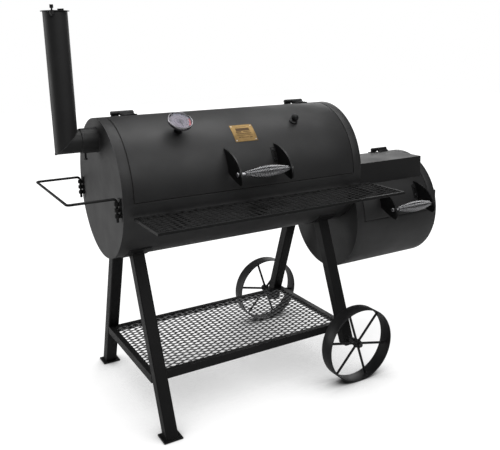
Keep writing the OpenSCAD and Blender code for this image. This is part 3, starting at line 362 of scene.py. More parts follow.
# %% [markdown]
# ### Bare metals, glass and the inside
# Bright metal is a metallic shader whose roughness carries the story: fine drawn lines on wire and
# bolts, straight brush strokes on the brass plate. The inside of both barrels is matt, and cast
# iron is a dark, grainy grey.

# %% Metals and glass
def bright_metal(name, color, roughness, stretch, scale=60.0, grime=0.35, depth=0.05):
    finish, shader = new_finish(name, color, roughness, metallic=1.0)
    place = object_place(finish)
    strokes = noise(finish, place, scale, 4.0, stretch)
    join(finish, spread(finish, strokes, 0.3, 0.7, roughness - 0.07, roughness + 0.1),
         shader.inputs["Roughness"])
    stain = spread(finish, noise(finish, place, 35.0, 5.0), 0.45, 0.75, 0.0, grime)
    join(finish, mix_color(finish, stain, color, [0.35 * c for c in color]), shader.inputs["Base Color"])
    bumps(finish, shader, strokes, depth, 0.3 * MM)
    return finish


nickel = bright_metal("nickel_coil", (0.40, 0.40, 0.41), 0.16, (1.0, 9.0, 9.0))
zinc = bright_metal("zinc_bolt", (0.62, 0.62, 0.64), 0.32, (1.0, 1.0, 1.0), scale=140.0)
bezel_metal = bright_metal("bezel_steel", (0.36, 0.35, 0.37), 0.20, (1.0, 1.0, 1.0), scale=90.0, grime=0.15)
brass = bright_metal("badge_brass", (0.30, 0.20, 0.085), 0.45, (1.5, 22.0, 22.0), scale=40.0, grime=0.55)
brass_dark, brass_dark_shader = new_finish("badge_brass_aged", (0.10, 0.055, 0.02), 0.6, metallic=0.5)
aged_place = object_place(brass_dark)
join(brass_dark, mix_color(brass_dark, noise(brass_dark, aged_place, 220.0), (0.055, 0.030, 0.012),
                           (0.13, 0.075, 0.03)),
     brass_dark_shader.inputs["Base Color"])


def rough_metal(name, dark, pale, roughness, grain, depth):
    finish, shader = new_finish(name, dark, roughness)
    place = object_place(finish)
    patches = noise(finish, place, 9.0, 6.0)
    join(finish, mix_color(finish, patches, dark, pale), shader.inputs["Base Color"])
    join(finish, spread(finish, patches, 0.3, 0.7, roughness - 0.1, roughness + 0.08),
         shader.inputs["Roughness"])
    bumps(finish, shader, noise(finish, place, grain, 4.0), depth, 0.6 * MM)
    return finish


cast_iron = rough_metal("cast_grate", (0.022, 0.021, 0.020), (0.055, 0.052, 0.050), 0.55, 500.0, 0.35)
inner_steel = rough_metal("inner_steel", (0.010, 0.0095, 0.009), (0.028, 0.025, 0.022), 0.72, 260.0, 0.25)

lens_glass, lens_shader = new_finish("dial_glass", (0.97, 0.98, 1.0), 0.03)
lens_shader.inputs["Transmission Weight"].default_value = 1.0
lens_shader.inputs["IOR"].default_value = 1.18
needle_paint = rough_metal("needle_black", (0.02, 0.012, 0.03), (0.05, 0.03, 0.07), 0.45, 300.0, 0.1)


def printed(name, color, roughness=0.35):
    """Ink or printed card, with the faint mottle of a screen print."""
    finish, shader = new_finish(name, color, roughness)
    place = object_place(finish)
    mottle = noise(finish, place, 700.0, 3.0)
    join(finish, mix_color(finish, mottle, [0.90 * c for c in color], [min(1.0, 1.06 * c) for c in color]),
         shader.inputs["Base Color"])
    return finish


dial_card = printed("dial_print", (0.20, 0.165, 0.212))
dial_dark = printed("dial_centre", (0.085, 0.060, 0.105))
ink_black = printed("dial_ink", (0.030, 0.022, 0.040))
ink_red = printed("dial_red", (0.60, 0.03, 0.045))
ink_grey = printed("dial_grey", (0.30, 0.30, 0.40))
print("all finishes:", len(bpy.data.materials))

# %% [markdown]
# ## Dressing the CAD pieces
# Each CAD piece names a material slot in the record. The table below says which finish a slot gets,
# and every CAD piece is given its finish at once. Pieces rebuilt further down hide their CAD copy.

# %% Finishes by slot
FINISHES = {
    "black_enamel": barrel_paint, "frame_enamel": frame_paint, "mesh_enamel": mesh_paint,
    "chimney_enamel": chimney_paint, "dark_hardware": hardware_paint, "cast_grate": cast_iron,
    "inner_steel": inner_steel, "fin_enamel": fin_paint, "nickel_coil": nickel, "zinc_bolt": zinc,
    "axle_steel": axle_paint, "bezel_steel": bezel_metal, "dial_print": dial_card,
    "dial_glass": lens_glass, "needle_black": needle_paint, "badge_brass": brass,
    "wheel_enamel": wheel_paint,
}
slot_of = {part["node"]: part["material_slot"] for part in frame["record"]["subparts"]}
body_of = {node: body for body, nodes in frame["record"]["behaviour"]["bodies"].items() for node in nodes}
for node, cad_piece in frame["nodes"].items():
    for material_slot in cad_piece.material_slots:
        material_slot.material = FINISHES[slot_of[node]]
print("CAD pieces dressed:", len(frame["nodes"]))

# %% [markdown]
# ## Building pieces
# Every new piece ends the same way: its mesh becomes an object, it rides on the body of the CAD
# piece it belongs to, it is given a finish, and it may replace the CAD piece.

# %% Finish a piece
def settle(name, mesh, like, finish, replaces=(), bevel=0.0, smooth=35.0):
    """Makes mesh an object that rides with the CAD piece `like`."""
    for polygon in mesh.polygons:
        polygon.use_smooth = True
    mesh.set_sharp_from_angle(angle=math.radians(smooth))
    piece = bpy.data.objects.new(name, mesh)
    scene.collection.objects.link(piece)
    mesh.materials.clear()
    mesh.materials.append(finish)
    if bevel:
        rounding = piece.modifiers.new("rounding", "BEVEL")
        rounding.width = bevel
        rounding.segments = 2
        rounding.limit_method = "ANGLE"
        rounding.angle_limit = math.radians(smooth)
        rounding.harden_normals = True
    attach(piece, body_of[like])
    if replaces:
        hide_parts(*replaces)
    return piece


def mesh_of(name, points, faces):
    """A mesh from plain points and faces, with its doubles merged and its faces turned outwards."""
    mesh = bpy.data.meshes.new(name)
    mesh.from_pydata([tuple(p) for p in points], [], faces)
    work = bmesh.new()
    work.from_mesh(mesh)
    bmesh.ops.remove_doubles(work, verts=work.verts, dist=1e-6)
    bmesh.ops.recalc_face_normals(work, faces=work.faces)
    work.to_mesh(mesh)
    work.free()
    return mesh


# %% [markdown]
# ### Softened edges
# CAD edges are perfectly sharp, and real cut and bent steel never is. A copy of the CAD mesh is
# merged, its flat faces are joined again, and a Bevel modifier rounds the edges so that they catch
# the light. It is used for frames, brackets, plates and anything else with square edges.

# %% Round the edges of CAD pieces
def softened(node, width):
    work = bmesh.new()
    work.from_mesh(frame["nodes"][node].data)
    bmesh.ops.remove_doubles(work, verts=work.verts, dist=2e-6)
    bmesh.ops.dissolve_limit(work, angle_limit=math.radians(0.4), verts=work.verts, edges=work.edges)
    mesh = bpy.data.meshes.new(node + "_soft")
    work.to_mesh(mesh)
    work.free()
    # The warming box takes the darker copy of the barrel enamel, whose extra darkness is painted shade.
    finish = box_paint_painted_shade if node == "warming_box" else FINISHES[slot_of[node]]
    return settle(node + "_soft", mesh, node, finish, (node,), bevel=width)


SOFT_EDGES = {
    "work_shelf_frame": 1.2, "lower_shelf_frame": 0.8, "foot_plates": 1.2, "warming_box": 1.5,
    "work_shelf_brackets": 0.8, "lift_handle_brackets": 0.9, "side_door": 0.8, "air_vent": 0.5,
    "lid_handle_fins": 1.1, "firebox_handle_fins": 1.1, "hinge_knuckles": 0.8, "lid_hinge_leaves": 0.8,
    "firebox_hinge_leaves": 0.8, "leg_saddles": 0.8, "door_hinge_lug": 0.6, "stack_damper": 0.5,
    "lid_handle_bolt": 1.4, "firebox_handle_bolt": 1.4,
}
for node, width in SOFT_EDGES.items():
    softened(node, width * MM)
print("pieces with rounded edges:", len(SOFT_EDGES))

# %% [markdown]
# ## Rolled sheets
# The barrel, the firebox and their lids are flat sheets rolled to a curve. A grid of points laid
# round the axis gives a much rounder skin than the CAD mesh. Cells of the grid that fall in the lid
# opening are left out, and Solidify gives the sheet its thickness inwards.

# %% Rolled sheet
STEP = math.radians(2.0)
LENGTH_STEP = 0.12
LID_GAP = 3.0 * MM


def stops_between(a, b, step):
    count = max(1, math.ceil((b - a) / step))
    return [a + (b - a) * i / count for i in range(count + 1)]


def rolled_sheet(name, axis, radius, x_stops, angles, is_open, like, finish, closed):
    """A curved sheet; angles count from the front over the top; is_open(x, angle) leaves a cell out."""
    ring = angles[:-1] if closed else angles
    points = [(x, axis.y - radius * math.cos(a), axis.z + radius * math.sin(a))
              for x in x_stops for a in ring]
    faces = []
    for i in range(len(x_stops) - 1):
        for j in range(len(angles) - 1):
            x_mid = (x_stops[i] + x_stops[i + 1]) / 2
            a_mid = (angles[j] + angles[j + 1]) / 2
            if is_open(x_mid, a_mid):
                continue
            k = (j + 1) % len(ring)
            row, ahead = i * len(ring), (i + 1) * len(ring)
            faces.append((row + j, ahead + j, ahead + k, row + k))
    mesh = bpy.data.meshes.new(name)
    mesh.from_pydata(points, [], faces)
    work = bmesh.new()
    work.from_mesh(mesh)
    bmesh.ops.delete(work, geom=[v for v in work.verts if not v.link_faces], context="VERTS")
    outward = sum((f.normal.dot(f.calc_center_median() - Vector((f.calc_center_median().x, axis.y, axis.z)))
                   for f in work.faces), 0.0)
    if outward < 0:
        bmesh.ops.reverse_faces(work, faces=work.faces)
    work.to_mesh(mesh)
    work.free()
    piece = settle(name, mesh, like, finish, (like,))
    wall = piece.modifiers.new("wall", "SOLIDIFY")
    wall.thickness = sheet
    wall.offset = -1.0
    wall.use_even_offset = True
    rounding = piece.modifiers.new("rounding", "BEVEL")
    rounding.width = 0.7 * MM
    rounding.segments = 2
    rounding.limit_method = "ANGLE"
    rounding.angle_limit = math.radians(60.0)
    return piece


def lid_angles(panel, axis, radius):
    """The angles of a lid's front and hinged edges, from its box."""
    front = math.asin((low(panel).z - axis.z) / radius)
    back = math.pi / 2 + math.asin((high(panel).y - axis.y) / radius)
    return front, back


def barrel_pair(shell, panel, axis, radius, x_ends, names):
    """A barrel's shell with its lid opening, and the lid's panel."""
    front, back = lid_angles(panel, axis, radius)
    gap = LID_GAP / radius
    x0, x1 = low(panel).x, high(panel).x
    opening_x = (x0 - LID_GAP, x1 + LID_GAP)
    lid_ring = stops_between(front - gap, back + gap, STEP)
    rest_ring = stops_between(back + gap, front - gap + 2 * math.pi, STEP)
    angles = lid_ring + rest_ring[1:]

    def in_opening(x, a):
        return opening_x[0] < x < opening_x[1] and front - gap < a < back + gap

    shell_stops = [x_ends[0] + sheet, opening_x[0], *stops_between(*opening_x, LENGTH_STEP)[1:],
                   x_ends[1] - sheet]
    rolled_sheet(names[0], axis, radius, shell_stops, angles, in_opening, shell, barrel_paint, True)
    rolled_sheet(names[1], axis, radius, stops_between(x0, x1, LENGTH_STEP), stops_between(front, back, STEP),
                 lambda x, a: False, panel, barrel_paint, False)


barrel_pair("barrel_shell", "lid_panel", barrel_axis, barrel_r, barrel_x, ("barrel_skin", "barrel_lid_skin"))
barrel_pair("firebox_shell", "firebox_lid_panel", firebox_axis, firebox_r, firebox_x,
            ("firebox_skin", "firebox_lid_skin"))
print("rolled sheets made")

# %% [markdown]
# ## Turned pieces
# Discs, tubes, domes and bezels are outlines turned round an axis. The outline is a short list of
# (radius, height) points, and a matrix puts the turned shape where it belongs.

# %% Turn an outline
def turned(name, outline, steps):
    """A closed outline of (radius, height) turned round z."""
    points, faces = [], []
    for i in range(steps):
        a = 2 * math.pi * i / steps
        points += [(r * math.cos(a), r * math.sin(a), h) for r, h in outline]
    count = len(outline)
    for i in range(steps):
        here, ahead = i * count, (i + 1) % steps * count
        for j in range(count):
            k = (j + 1) % count
            faces.append((here + j, ahead + j, ahead + k, here + k))
    return mesh_of(name, points, faces)


def placed(mesh, matrix):
    mesh.transform(matrix)
    return mesh


def axes(origin, x, y, z):
    """A matrix whose columns are the three directions and the origin."""
    return Matrix.Translation(origin) @ Matrix((x, y, z)).transposed().to_4x4()


# %% [markdown]
# A plug closes the spare port in the lid. It is a collar under a round knob, so that it can be turned
# by hand. Its axis leaves the lid at a right angle, through the middle of its box.

# %% Port plug
plug_mid = middle("port_plug")
plug_r = (high("port_plug").x - low("port_plug").x) / 2
plug_out = Vector((0.0, plug_mid.y - barrel_axis.y, plug_mid.z - barrel_axis.z)).normalized()
plug_foot = Vector((plug_mid.x, barrel_axis.y, barrel_axis.z)) + plug_out * barrel_r
BALL_R, BALL_H = 14.2 * MM, 21.5 * MM
ball = [(BALL_R * math.sin(math.radians(t)), BALL_H - BALL_R * math.cos(math.radians(t)))
        for t in range(35, 176, 14)]
plug_shape = [(0.0, -11.5 * MM), (9.6 * MM, -11.5 * MM), (9.6 * MM, -1.0 * MM), (plug_r, -1.0 * MM),
              (plug_r, 5.0 * MM), (plug_r - 1.5 * MM, 6.5 * MM), *ball, (0.0, BALL_H + BALL_R)]
plug_mesh = turned("port_plug_turned", plug_shape, 48)
x_way = Vector((1.0, 0.0, 0.0))
settle("port_plug_turned", placed(plug_mesh, axes(plug_foot, x_way, plug_out.cross(x_way), plug_out)),
       "port_plug", hardware_paint, ("port_plug",))
print(f"plug radius {plug_r / MM:.1f} mm")

# %% [markdown]
# ## Expanded metal
# Both shelves are expanded steel: a slit sheet pulled into staggered diamonds whose strands stand
# slightly on edge. One cell is four strands that meet in the middle. Geometry Nodes lay the cell on
# a grid, realise it and give it its paint, so the count and pitch stay named inputs.

# %% Helpers for Geometry Nodes
SOCKETS = {"float": "NodeSocketFloat", "int": "NodeSocketInt", "object": "NodeSocketObject",
           "material": "NodeSocketMaterial"}


def new_tree(name, **sizes):
    """A Geometry Nodes tree with a geometry in and out, and one named input for each size."""
    tree = bpy.data.node_groups.new(name, "GeometryNodeTree")
    tree.interface.new_socket("Geometry", in_out="INPUT", socket_type="NodeSocketGeometry")
    tree.interface.new_socket("Geometry", in_out="OUTPUT", socket_type="NodeSocketGeometry")
    for label, kind in sizes.items():
        tree.interface.new_socket(label, in_out="INPUT", socket_type=SOCKETS[kind])
    return tree, tree.nodes.new("NodeGroupInput").outputs, tree.nodes.new("NodeGroupOutput").inputs


def grow_node(tree, kind, inputs=(), **settings):
    """A node with its settings, and its inputs by name or number linked or set."""
    node = tree.nodes.new(kind)
    for key, value in settings.items():
        setattr(node, key, value)
    for key, value in dict(inputs).items():
        if hasattr(value, "is_output"):
            tree.links.new(value, node.inputs[key])
        else:
            node.inputs[key].default_value = value
    return node


def tree_math(tree, operation, a, b=0.0):
    return grow_node(tree, "ShaderNodeMath", {0: a, 1: b}, operation=operation).outputs[0]


def end_tree(tree, given, result, geometry):
    """Ends a tree: instances made real, the paint set, and out."""
    real = grow_node(tree, "GeometryNodeRealizeInstances", {"Geometry": geometry})
    painted = grow_node(tree, "GeometryNodeSetMaterial",
                        {"Geometry": real.outputs[0], "Material": given["paint"]})
    tree.links.new(painted.outputs[0], result["Geometry"])


def grown(name, tree, values, base=None):
    """The plain mesh that a tree grows from base, with its inputs set by identifier."""
    holder = bpy.data.objects.new(name + "_holder", base or bpy.data.meshes.new(name + "_seed"))
    scene.collection.objects.link(holder)
    modifier = holder.modifiers.new("grow", "NODES")
    modifier.node_group = tree
    for item in tree.interface.items_tree:
        if item.in_out == "INPUT" and item.name in values:
            modifier[item.identifier] = values[item.name]
    evaluated = holder.evaluated_get(bpy.context.evaluated_depsgraph_get())
    mesh = bpy.data.meshes.new_from_object(evaluated)
    holder.modifiers.remove(modifier)
    bpy.data.objects.remove(holder)
    print(f"{name}: {len(mesh.polygons)} faces grown")
    return mesh


def hidden_object(name, mesh):
    """A pattern object that a tree copies; it is removed once the tree has run."""
    pattern = bpy.data.objects.new(name, mesh)
    scene.collection.objects.link(pattern)
    return pattern


# %% One diamond of expanded metal
STRAND_W, STRAND_T, STRAND_TILT, STRAND_LIFT = 3.6 * MM, 2.0 * MM, math.radians(28.0), 0.9 * MM


def strand(start, end, tilt):
    """A flat strip from start to end that leans on its edge in the middle."""
    along = (end - start).normalized()
    across = Vector((0, 0, 1)).cross(along)
    points, faces = [], []
    for t, lean, lift in ((0.0, 0.0, 0.0), (0.3, tilt, STRAND_LIFT), (0.7, tilt, -STRAND_LIFT),
                          (1.0, 0.0, 0.0)):
        centre = start.lerp(end, t) + Vector((0, 0, lift * (1 if tilt > 0 else -1)))
        wide = across * math.cos(lean) + Vector((0, 0, math.sin(lean)))
        thick = Vector((0, 0, math.cos(lean))) - across * math.sin(lean)
        for sw, st in ((-1, -1), (1, -1), (1, 1), (-1, 1)):
            points.append(centre + wide * sw * STRAND_W / 2 + thick * st * STRAND_T / 2)
    for i in range(3):
        for j in range(4):
            k = (j + 1) % 4
            faces.append((4 * i + j, 4 * i + k, 4 * i + 4 + k, 4 * i + 4 + j))
    faces += [(3, 2, 1, 0), (12, 13, 14, 15)]
    return points, faces


def diamond_cell(name, long_way, short_way):
    """Four strands from the middle of a cell to its corners."""
    points, faces = [], []
    for sx in (-1, 1):
        for sy in (-1, 1):
            ends = (Vector((0, 0, 0)), Vector((sx * long_way / 2, sy * short_way / 2, 0)))
            bar, bar_faces = strand(*ends, STRAND_TILT * sx)
            faces += [tuple(len(points) + i for i in face) for face in bar_faces]
            points += bar
    mesh = bpy.data.meshes.new(name)
    mesh.from_pydata([tuple(p) for p in points], [], faces)
    return mesh


# %% Lay the diamonds on a grid
diamond_tree, given, result = new_tree(
    "expanded_metal", cell="object", columns="int", rows="int", long_pitch="float", short_pitch="float",
    paint="material")
grid = grow_node(diamond_tree, "GeometryNodeMeshGrid", {
    "Size X": tree_math(diamond_tree, "MULTIPLY",
                        tree_math(diamond_tree, "SUBTRACT", given["columns"], 1.0), given["long_pitch"]),
    "Size Y": tree_math(diamond_tree, "MULTIPLY", tree_math(diamond_tree, "SUBTRACT", given["rows"], 1.0),
                        given["short_pitch"]),
    "Vertices X": given["columns"], "Vertices Y": given["rows"]})
cell_in = grow_node(diamond_tree, "GeometryNodeObjectInfo", {"Object": given["cell"]})
laid = grow_node(diamond_tree, "GeometryNodeInstanceOnPoints", {
    "Points": grid.outputs["Mesh"], "Instance": cell_in.outputs["Geometry"]})
end_tree(diamond_tree, given, result, laid.outputs[0])

LONG_PITCH, SHORT_PITCH = 51.0 * MM, 23.0 * MM


def expanded_metal(name, node, finish):
    """Expanded metal that fills the box of a CAD sheet from edge to edge."""
    corner, far = low(node), high(node)
    columns = round((far.x - corner.x) / LONG_PITCH)
    rows = round((far.y - corner.y) / SHORT_PITCH)
    long_pitch, short_pitch = (far.x - corner.x) / columns, (far.y - corner.y) / rows
    cell = hidden_object(name + "_cell", diamond_cell(name + "_cell", long_pitch, short_pitch))
    mesh = grown(name, diamond_tree, {
        "cell": cell, "columns": columns, "rows": rows, "long_pitch": long_pitch,
        "short_pitch": short_pitch, "paint": finish})
    bpy.data.objects.remove(cell)
    settle(name, placed(mesh, Matrix.Translation(middle(node))), node, finish, (node,), smooth=20.0)


# The lower shelf takes the paler copy of the mesh enamel, whose pale tone is painted light.
expanded_metal("lower_shelf_diamonds", "lower_shelf_mesh", mesh_paint_painted_light)
expanded_metal("work_shelf_diamonds", "work_shelf_mesh", mesh_paint)

# %% [markdown]
# ## Coil grips
# The grips are springs wound thicker in the middle, so that a hand stays cool. A straight line is
# resampled, and each point is moved round the axis by an angle and a radius that depend on how far
# along the line it is. A circle swept along it is the wire.

# %% Grow a coil
coil_tree, given, result = new_tree(
    "coil_grip", length="float", turns="float", end_radius="float", middle_radius="float",
    wire_radius="float", points="int", paint="material")
line = grow_node(coil_tree, "GeometryNodeCurvePrimitiveLine")
many = grow_node(coil_tree, "GeometryNodeResampleCurve", {"Curve": line.outputs[0], "Count": given["points"]})
share = grow_node(coil_tree, "GeometryNodeSplineParameter").outputs["Factor"]
angle = tree_math(coil_tree, "MULTIPLY", tree_math(coil_tree, "MULTIPLY", share, given["turns"]), 2 * math.pi)
belly = tree_math(coil_tree, "SINE", tree_math(coil_tree, "MULTIPLY", share, math.pi))
swell = tree_math(coil_tree, "SUBTRACT", given["middle_radius"], given["end_radius"])
radius = tree_math(coil_tree, "ADD", given["end_radius"], tree_math(coil_tree, "MULTIPLY", belly, swell))
where = grow_node(coil_tree, "ShaderNodeCombineXYZ", {
    "X": tree_math(coil_tree, "MULTIPLY", share, given["length"]),
    "Y": tree_math(coil_tree, "MULTIPLY", radius, tree_math(coil_tree, "COSINE", angle)),
    "Z": tree_math(coil_tree, "MULTIPLY", radius, tree_math(coil_tree, "SINE", angle))})
wound = grow_node(coil_tree, "GeometryNodeSetPosition",
                  {"Geometry": many.outputs[0], "Position": where.outputs[0]})
wire = grow_node(coil_tree, "GeometryNodeCurvePrimitiveCircle",
                 {"Resolution": 7, "Radius": given["wire_radius"]})
swept = grow_node(coil_tree, "GeometryNodeCurveToMesh", {
    "Curve": wound.outputs[0], "Profile Curve": wire.outputs[0], "Fill Caps": True})
end_tree(coil_tree, given, result, swept.outputs[0])

WIRE_R = 2.0 * MM
COIL_PITCH = 6.4 * MM


def coil_grip(name, node):
    corner, far, centre = low(node), high(node), middle(node)
    length = far.x - corner.x - 2 * WIRE_R
    turns = round(length / COIL_PITCH)
    mesh = grown(name, coil_tree, {
        "length": length, "turns": float(turns), "end_radius": 9.5 * MM - WIRE_R,
        "middle_radius": (far.z - corner.z) / 2 - WIRE_R, "wire_radius": WIRE_R,
        "points": turns * 36, "paint": nickel})
    settle(name, placed(mesh, Matrix.Translation((corner.x + WIRE_R, centre.y, centre.z))), node, nickel,
           (node,), smooth=60.0)


coil_grip("lid_coil", "lid_handle_coil")
coil_grip("firebox_coil", "firebox_handle_coil")

# %% [markdown]
# ## Wheels
# A wheel is a flat band bent to a ring, six round spokes and a short tube for a hub, all welded.
# The tree sweeps a rounded band round a circle and the hub in the same way, and copies one spoke
# round the middle at even angles. It is grown flat and then turned to stand up.

# %% Grow a wheel
wheel_tree, given, result = new_tree(
    "spoked_wheel", radius="float", width="float", band="float", spokes="int", spoke_radius="float",
    spoke_start="float", spoke_end="float", hub_radius="float", hub_wall="float", hub_length="float",
    paint="material")


def swept_ring(tree, ring_radius, wall, width, rounding, steps):
    """A rectangle with rounded corners swept round a circle."""
    circle = grow_node(tree, "GeometryNodeCurvePrimitiveCircle", {"Resolution": steps, "Radius": ring_radius})
    outline = grow_node(tree, "GeometryNodeCurvePrimitiveQuadrilateral", {"Width": wall, "Height": width})
    soft = grow_node(tree, "GeometryNodeFilletCurve", {
        "Curve": outline.outputs[0], "Radius": rounding, "Count": 2}, mode="POLY")
    return grow_node(tree, "GeometryNodeCurveToMesh",
                     {"Curve": circle.outputs[0], "Profile Curve": soft.outputs[0]})


EDGE_ROUNDING = 1.2 * MM
half_band = tree_math(wheel_tree, "MULTIPLY", given["band"], 0.5)
half_wall = tree_math(wheel_tree, "MULTIPLY", given["hub_wall"], 0.5)
rim = swept_ring(wheel_tree, tree_math(wheel_tree, "SUBTRACT", given["radius"], half_band), given["band"],
                 given["width"], EDGE_ROUNDING, 120)
hub = swept_ring(wheel_tree, tree_math(wheel_tree, "SUBTRACT", given["hub_radius"], half_wall),
                 given["hub_wall"], given["hub_length"], EDGE_ROUNDING, 40)
reach = tree_math(wheel_tree, "SUBTRACT", given["spoke_end"], given["spoke_start"])
rod = grow_node(wheel_tree, "GeometryNodeMeshCylinder", {
    "Vertices": 20, "Side Segments": 1, "Radius": given["spoke_radius"], "Depth": reach})
half_reach = tree_math(wheel_tree, "ADD", given["spoke_start"], tree_math(wheel_tree, "MULTIPLY", reach, 0.5))
out_way = grow_node(wheel_tree, "ShaderNodeCombineXYZ", {"X": half_reach})
lying = grow_node(wheel_tree, "GeometryNodeTransform", {
    "Geometry": rod.outputs["Mesh"], "Translation": out_way.outputs[0], "Rotation": (0.0, math.pi / 2, 0.0)})
seats = grow_node(wheel_tree, "GeometryNodePoints", {"Count": given["spokes"]})
turn = tree_math(wheel_tree, "MULTIPLY", grow_node(wheel_tree, "GeometryNodeInputIndex").outputs[0],
                 tree_math(wheel_tree, "DIVIDE", 2 * math.pi, given["spokes"]))
facing = grow_node(wheel_tree, "ShaderNodeCombineXYZ", {"Z": turn})
spread_out = grow_node(wheel_tree, "GeometryNodeInstanceOnPoints", {
    "Points": seats.outputs[0], "Instance": lying.outputs[0], "Rotation": facing.outputs[0]})
together = grow_node(wheel_tree, "GeometryNodeJoinGeometry")
for part in (rim, hub, spread_out):
    wheel_tree.links.new(part.outputs[0], together.inputs[0])
end_tree(wheel_tree, given, result, together.outputs[0])

SPOKES = 6
FIRST_SPOKE = math.radians(47.0)
BAND, SPOKE_R, HUB_R, HUB_WALL, HUB_L = 5.0 * MM, 5.0 * MM, 16.0 * MM, 7.9 * MM, 24.0 * MM


def wagon_wheel(name, node):
    corner, far, centre = low(node), high(node), middle(node)
    mesh = grown(name, wheel_tree, {
        "radius": centre.z, "width": far.y - corner.y, "band": BAND, "spokes": SPOKES,
        "spoke_radius": SPOKE_R,
        "spoke_start": HUB_R - 3 * MM, "spoke_end": centre.z - BAND / 2, "hub_radius": HUB_R,
        "hub_wall": HUB_WALL, "hub_length": HUB_L, "paint": wheel_paint})
    upright = (Matrix.Translation(centre) @ Matrix.Rotation(math.pi / 2, 4, "X")
               @ Matrix.Rotation(FIRST_SPOKE, 4, "Z"))
    settle(name, placed(mesh, upright), node, wheel_paint, (node,), smooth=40.0)


wagon_wheel("wheel_front_welded", "wheel_front")
wagon_wheel("wheel_rear_welded", "wheel_rear")

# %% [markdown]
# ## Bolt heads and rivets
# Small round heads sit wherever two sheets are held together. A tree copies one head onto each
# point of a cloud, and an attribute on the points says which way each head looks.

# %% Grow heads on points
head_tree, given, result = new_tree("heads_on_points", head="object", paint="material")
looks = grow_node(head_tree, "GeometryNodeInputNamedAttribute", {"Name": "looks"}, data_type="FLOAT_VECTOR")
lean = grow_node(head_tree, "FunctionNodeAlignRotationToVector", {"Vector": looks.outputs["Attribute"]},
                 axis="Z")
head_in = grow_node(head_tree, "GeometryNodeObjectInfo", {"Object": given["head"]})
heads = grow_node(head_tree, "GeometryNodeInstanceOnPoints", {
    "Points": given["Geometry"], "Instance": head_in.outputs["Geometry"], "Rotation": lean.outputs[0]})
end_tree(head_tree, given, result, heads.outputs[0])


def dome_head(name, radius, height, steps=16, rings=4):
    """A shallow dome with a closed flat foot."""
    outline = [(0.0, 0.0), (radius, 0.0)]
    outline += [(radius * math.cos(t * math.pi / 2 / rings), height * math.sin(t * math.pi / 2 / rings))
                for t in range(1, rings + 1)]
    outline[-1] = (0.0, height)
    return turned(name, outline, steps)


def hex_head(name, radius, height):
    """A six-sided bolt head on a thin washer."""
    washer = 1.25 * radius
    points = [(washer * math.cos(a), washer * math.sin(a), z) for z in (0.0, 0.9 * MM)
              for a in [2 * math.pi * i / 18 for i in range(18)]]
    faces = [tuple(range(17, -1, -1)), tuple(range(18, 36))]
    faces += [(i, (i + 1) % 18, 18 + (i + 1) % 18, 18 + i) for i in range(18)]
    base = len(points)
    for r, z in ((radius, 0.9 * MM), (radius, height * 0.82), (radius * 0.86, height)):
        points += [(r * math.cos(math.pi / 3 * i), r * math.sin(math.pi / 3 * i), z) for i in range(6)]
    for ring in range(2):
        for i in range(6):
            k = (i + 1) % 6
            faces.append((base + 6 * ring + i, base + 6 * ring + k, base + 6 * ring + 6 + k,
                          base + 6 * ring + 6 + i))
    faces += [tuple(base + 5 - i for i in range(6)), tuple(base + 12 + i for i in range(6))]
    mesh = bpy.data.meshes.new(name)
    mesh.from_pydata(points, [], faces)
    return mesh


def heads_on(name, head_mesh, seats, like, finish):
    """Heads at (place, direction) seats, as one piece that rides with the CAD piece `like`."""
    cloud = bpy.data.meshes.new(name + "_seats")
    cloud.from_pydata([tuple(place) for place, _ in seats], [], [])
    looks_out = cloud.attributes.new("looks", "FLOAT_VECTOR", "POINT")
    for i, (_, way) in enumerate(seats):
        looks_out.data[i].vector = way
    head = hidden_object(name + "_head", head_mesh)
    mesh = grown(name, head_tree, {"head": head, "paint": finish}, cloud)
    bpy.data.objects.remove(head)
    return settle(name, mesh, like, finish)


def on_skin(axis, radius, x, angle, out=0.0):
    """The place on a barrel's skin at that angle, and the way out of it."""
    way = Vector((0.0, -math.cos(angle), math.sin(angle)))
    return Vector((x, axis.y, axis.z)) + way * (radius + out), way


def angle_of(axis, point):
    return math.atan2(point.z - axis.z, -(point.y - axis.y))


# %% Bolts on the grips' feet, hinges and brackets
def grip_foot_bolts(name, fins, axis, radius):
    """Two bolts through the bent foot of each fin."""
    corner, far = low(fins), high(fins)
    foot_l, fin_t = 21.0 * MM, 6.0 * MM
    seats = []
    for x in (corner.x + foot_l / 2 + fin_t / 2 + 1.5 * MM, far.x - foot_l / 2 - fin_t / 2 - 1.5 * MM):
        for lift in (38.0 * MM, 72.0 * MM):
            base = angle_of(axis, middle(fins.replace("fins", "bolt")))
            seats.append(on_skin(axis, radius, x, base + lift / radius, sheet))
    heads_on(name, hex_head(name, 5.0 * MM, 4.5 * MM), seats, fins, hardware_paint)


grip_foot_bolts("lid_grip_bolts", "lid_handle_fins", barrel_axis, barrel_r)
grip_foot_bolts("firebox_grip_bolts", "firebox_handle_fins", firebox_axis, firebox_r)


def leaf_rivets(name, node, axis, radius, angle):
    """Three rivets in a row on the leaf of each hinge."""
    corner, far = low(node), high(node)
    span = 52.0 * MM
    seats = [on_skin(axis, radius, start + span * share, angle, 4.0 * MM)
             for start in (corner.x, far.x - span) for share in (1 / 6, 1 / 2, 5 / 6)]
    heads_on(name, dome_head(name, 3.2 * MM, 1.8 * MM), seats, node, hardware_paint)


lid_back = lid_angles("lid_panel", barrel_axis, barrel_r)[1]
firebox_back = lid_angles("firebox_lid_panel", firebox_axis, firebox_r)[1]
leaf_rivets("lid_leaf_rivets", "lid_hinge_leaves", barrel_axis, barrel_r, lid_back - math.radians(7.0))
leaf_rivets("firebox_leaf_rivets", "firebox_hinge_leaves", firebox_axis, firebox_r,
            firebox_back - math.radians(2.4))

# %% [markdown]
# ## Thermometer
# A thermometer screws into the lid: a black stem, a shallow steel case with a rolled bezel, a
# printed dial, a needle and a lens. Its parts are turned in a frame whose z axis leaves the lid.

